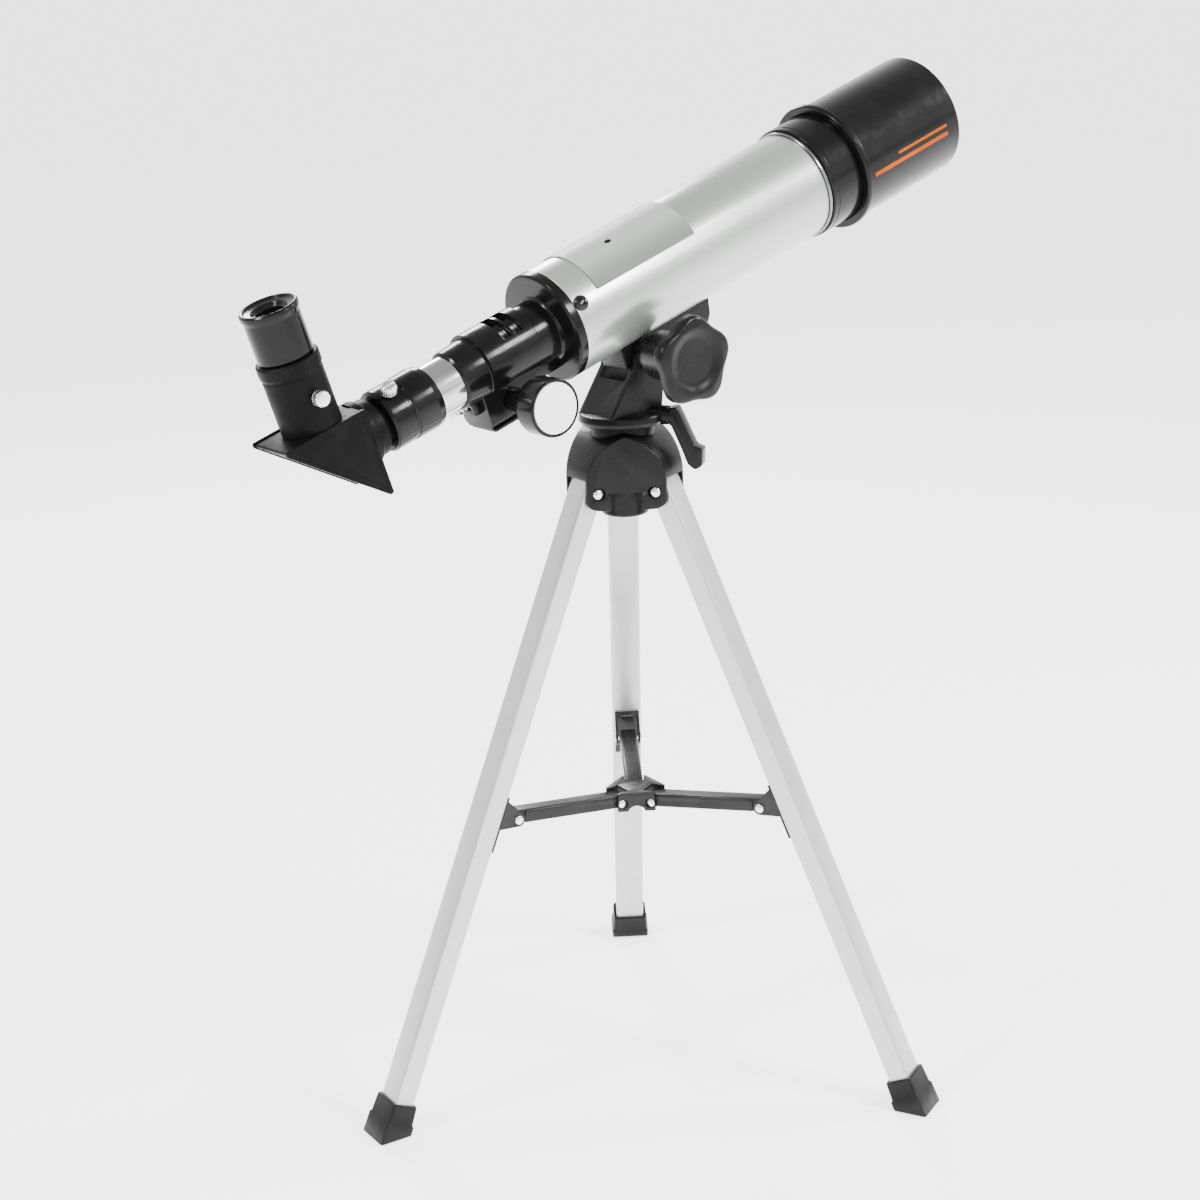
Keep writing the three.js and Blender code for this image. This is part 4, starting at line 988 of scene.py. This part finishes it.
def thumbscrew(name, tip, seat, matrix):
    """A small plated thumbscrew along local Z with a knurled, domed head and a driver slot."""
    profile = [(0, tip), (1.6, tip, 0.4), (1.6, seat + 0.9, 0), (3.0, seat + 0.9, 0), (4.1, seat + 1.5, 0.2),
               (4.1, seat + 5.2, 0.4), (3.2, seat + 6.3, 1), (0, seat + 6.5)]
    sides, knurl = 72, 0.93
    screw = turned(name, rounded(profile, 0.2, closed=False), matrix, "Z", sides=sides)
    inverse = matrix.inverted()
    for vert in screw.data.vertices:
        local = inverse @ vert.co
        side = round(math.atan2(local.y, local.x) / (2 * math.pi) * sides)
        if math.hypot(local.x, local.y) > 4.0 and side % 3 == 0:
            vert.co = matrix @ Vector((local.x * knurl, local.y * knurl, local.z))
    cut(screw, box("slot", -5, 5, -0.45, 0.45, seat + 5.3, seat + 8, matrix))
    return screw


def thumbscrews():
    screw = thumbscrew("collar_screw", 13.2, 16.6, collar_screw_frame())
    place(screw, "collar_thumbscrew", BRIGHT, "bright_steel", "collar_thumbscrew")
    screw = thumbscrew("holder_screw", 12.9, 16.1, holder_screw_frame())
    place(screw, "eyepiece_thumbscrew", BRIGHT, "bright_steel", "eyepiece_thumbscrew")


# ---- diagonal and eyepiece ----
DIAG_S, DIAG_FRONT, DIAG_TOP, DIAG_SIDE = -198.0, -176.0, 17.0, 16.4
EYE_SCREW_V = 34.0


def diagonal_frame():
    """About the eyepiece's axis: local Z up it, local X towards the sky."""
    return shifted(TUBE, DIAG_S, 0, 0)


def holder_screw_frame():
    """Local Z out of the eyepiece holder towards the -Y side."""
    return shifted(diagonal_frame(), 0, 0, EYE_SCREW_V) @ Matrix.Rotation(math.radians(90), 4, "X")


def wedge_outline(inset, corner):
    """The prism housing's side: a right angle under the eyepiece, and a sloping back with blunt ends."""
    back, front, top, low = DIAG_S - 26 + inset, DIAG_FRONT - inset, DIAG_TOP - inset, inset - 29.6
    blunt = 2.4 - 1.41 * inset
    outline = [(back, top), (front, top), (front, low), (front - blunt, low), (back, top - blunt)]
    return rounded(outline, corner, steps=4)


def cover_outline(gap):
    """The three corners of the prism room's mouth, or of the cover that closes it with a gap all round."""
    front, top, sharp = DIAG_FRONT - 2.4 - gap, DIAG_TOP - 2.6 - gap, 2.41 * gap
    return [(DIAG_S - 20.6 + sharp, top), (front, top), (front, sharp - 25.4)]


def diagonal():
    """Prism housing: a wedge with slightly proud side plates, the nose barrel and the eyepiece holder."""
    wedge = prism("prism_housing", wedge_outline(0.7, 0.9), 1.2 - DIAG_SIDE, DIAG_SIDE - 1.2, TUBE)
    soften(wedge, 0.4, 2)
    for low, high in ((DIAG_SIDE - 1.6, DIAG_SIDE), (-DIAG_SIDE, 2.2 - DIAG_SIDE)):
        plate = prism("side_plate", wedge_outline(0, 1.3), low, high, TUBE)
        fuse(wedge, soften(plate, 0.3, 2))
    nose = [(0, -177), (17, -177, 0.1), (17, -172.6, 1.2), (15.2, -171.4, 0.8), (15.2, -166.6, 0.6),
            (12.2, -166.4, 0.2), (12.2, -151.6, 0.3), (0, -151.6)]
    neck = turned("neck", rounded(nose, 0.1, closed=False), TUBE)
    profile = [(0, DIAG_TOP - 2), (15.4, DIAG_TOP - 2), (15.4, 45.2, 0.2), (15.15, 45.6, 0.1),
               (15.15, 46.4, 0.1), (15.5, 46.8, 0.2), (16.0, 47.8, 0.4), (16.0, 53.2, 0.6), (15.3, 54, 0.3),
               (0, 54)]
    holder = turned("holder", rounded(profile, 0.1, closed=False), diagonal_frame(), "Z")
    fuse(wedge, neck, holder)
    room = prism("room", cover_outline(0), -DIAG_SIDE - 1, DIAG_SIDE - 2.4, TUBE)
    light_in = rod(11, -190, -140, TUBE, "X")
    light_out = rod(11, 0, 60, diagonal_frame(), "Z")
    socket = rod(12.4, 24, 60, diagonal_frame(), "Z")
    screw = rod(SCREW_HOLE, 0, 30, holder_screw_frame(), "Z", sides=24)
    cut(wedge, room, light_in, light_out, socket, screw)
    place(wedge, "diagonal", PRISM_BLACK, "black_gloss", "diagonal_housing")
    cover = prism("side_cover", cover_outline(0.08), 0.02 - DIAG_SIDE, 1.6 - DIAG_SIDE, TUBE)
    soften(cover, 0.12, 2)
    place(cover, "diagonal", PRISM_BLACK, "black_gloss", "diagonal_cover")


def eyepiece():
    """A turned barrel with a rolled rim and a dished eye end, and its two lenses."""
    barrel, shell, rim = 12.1, 14.2, 15.0
    outline = [(11.1, 30), (barrel, 30), (barrel, 54.4), (13.4, 54.4), (shell, 55.4), (shell, 75.6, 0.6),
               (14.5, 76.6, 0.4), (rim, 78.2, 0.6), (rim, 80, 0.7), (14.1, 81, 0.6), (13.0, 80.7, 0.5),
               (12.4, 79.7, 0.5), (9.4, 79.2, 0.5), (8.2, 77.4, 0.4), (7.4, 77.2, 0.2), (7.4, 60, 0.2),
               (11.1, 58, 0.2)]
    outline = rounded(outline, 0.15, steps=4)
    body = turned("eyepiece_shell", outline, diagonal_frame(), "Z", closed=True, sides=128)
    place(body, "eyepiece", GLOSS_BLACK, "black_gloss", "eyepiece_body")
    lens = lens_piece("eye_glass", 7.1, 72.4, 73.6, 0.7, 0.9, diagonal_frame(), "Z")
    place(lens, "eyepiece", LENS, "optical_glass", "eye_lens")
    lens = lens_piece("field_glass", 10.8, 50, 51.6, 0.9, 0.2, diagonal_frame(), "Z")
    place(lens, "eyepiece", LENS, "optical_glass", "field_lens")


# ---- light, floor and camera ----
CAMERA_FROM_AXIS = Vector((-0.7828, -0.9849, 0.6366))
CAMERA_HEADING, CAMERA_PITCH, CAMERA_ROLL, CAMERA_LENS = 52.24, -16.13, -2.2, 71.35
HORIZON_LIGHT, ZENITH_LIGHT, FLAGGED_SIDE, SKYLINE, FLOOR_GLOW = 2.6, 0.75, 0.45, 0.55, 1.8


def camera():
    data = bpy.data.cameras.new("camera")
    data.lens = CAMERA_LENS
    data.sensor_width = 36
    data.clip_end = 50
    obj = add_object("camera", data)
    heading, pitch, roll = (math.radians(a) for a in (CAMERA_HEADING, CAMERA_PITCH, CAMERA_ROLL))
    level = math.cos(pitch)
    forward = Vector((math.cos(heading) * level, math.sin(heading) * level, math.sin(pitch)))
    right = forward.cross(Vector((0, 0, 1))).normalized()
    up = right.cross(forward)
    right, up = right * math.cos(roll) + up * math.sin(roll), up * math.cos(roll) - right * math.sin(roll)
    rotation = Matrix((right, up, -forward)).transposed().to_4x4()
    obj.matrix_world = Matrix.Translation(TRIPOD + CAMERA_FROM_AXIS) @ rotation
    bpy.context.scene.camera = obj


def area_light(name, spot, target, size, power):
    data = bpy.data.lights.new(name, "AREA")
    data.shape = "RECTANGLE"
    data.size, data.size_y = size
    data.energy = power
    obj = add_object(name, data)
    obj.location = spot
    obj.rotation_euler = (Vector(target) - Vector(spot)).to_track_quat("-Z", "Y").to_euler()


def sky(world):
    """Bright all round, darker overhead and towards -X, with a dark strip along the table's edge."""
    tree = world.node_tree
    background = tree.nodes["Background"]
    coordinates = tree.nodes.new("ShaderNodeTexCoord")
    split = tree.nodes.new("ShaderNodeSeparateXYZ")
    tree.links.new(coordinates.outputs["Generated"], split.inputs["Vector"])
    height = remap(tree, split.outputs["Z"], HORIZON_LIGHT, ZENITH_LIGHT, 0.1, 0.9)
    side = remap(tree, split.outputs["X"], FLAGGED_SIDE, 1, -1, -0.45)
    edge = remap(tree, split.outputs["Z"], SKYLINE, 1, 0.10, 0.2)
    for factor in (side, edge):
        product = tree.nodes.new("ShaderNodeMath")
        product.operation = "MULTIPLY"
        tree.links.new(height, product.inputs[0])
        tree.links.new(factor, product.inputs[1])
        height = product.outputs["Value"]
    tree.links.new(height, background.inputs["Strength"])
    background.inputs["Color"].default_value = (1, 1, 1, 1)


def studio():
    world = bpy.data.worlds.new("studio")
    bpy.context.scene.world = world
    world.use_nodes = True
    sky(world)
    area_light("band", (0.5, -1.25, 1.4), (0, 0, 0.45), (0.35, 0.35), 34)
    area_light("key", (-1.35, 0.1, 1.35), (0, 0, 0.4), (0.35, 0.35), 26)
    area_light("side", (1.3, -0.6, 1.25), (0, 0, 0.35), (0.3, 0.3), 22)
    area_light("rim", (0.6, 1.5, 1.3), (0, 0, 0.4), (0.5, 0.5), 26)
    bm = bmesh.new()
    bmesh.ops.create_grid(bm, x_segments=2, y_segments=2, size=40)
    mesh = bpy.data.meshes.new("floor")
    bm.to_mesh(mesh)
    bm.free()
    floor = add_object("floor", mesh)
    floor.location.z = -0.0005
    material, _, principled = shader("floor_paper", (0.93, 0.93, 0.93), 0.9)
    set_inputs(principled, {"Emission Color": (1, 1, 1, 1), "Emission Strength": FLOOR_GLOW})
    mesh.materials.append(material)


def build():
    camera()
    studio()
    for n in (1, 2, 3):
        for make in (leg, boot, leg_pin, spreader_arm, bracket, rivets):
            make(n)
    for make in (spreader_hub, crown, azimuth_head, azimuth_lock, altitude_knob, main_tube, label_plate,
                 flange_screws, front_end, shield_print, tube_bracket, focuser_housing, pinion_cover,
                 focus_knobs, drawtube, drawtube_collar, thumbscrews, diagonal, eyepiece):
        make()
    for node in ("altitude_bolt", "azimuth_spindle", "spindle_nut", "drawtube_rack"):
        carry_over(node, BRIGHT)
    carry_over("pinion_shaft", BRASS)
    carry_over("diagonal_prism", LENS)


build()
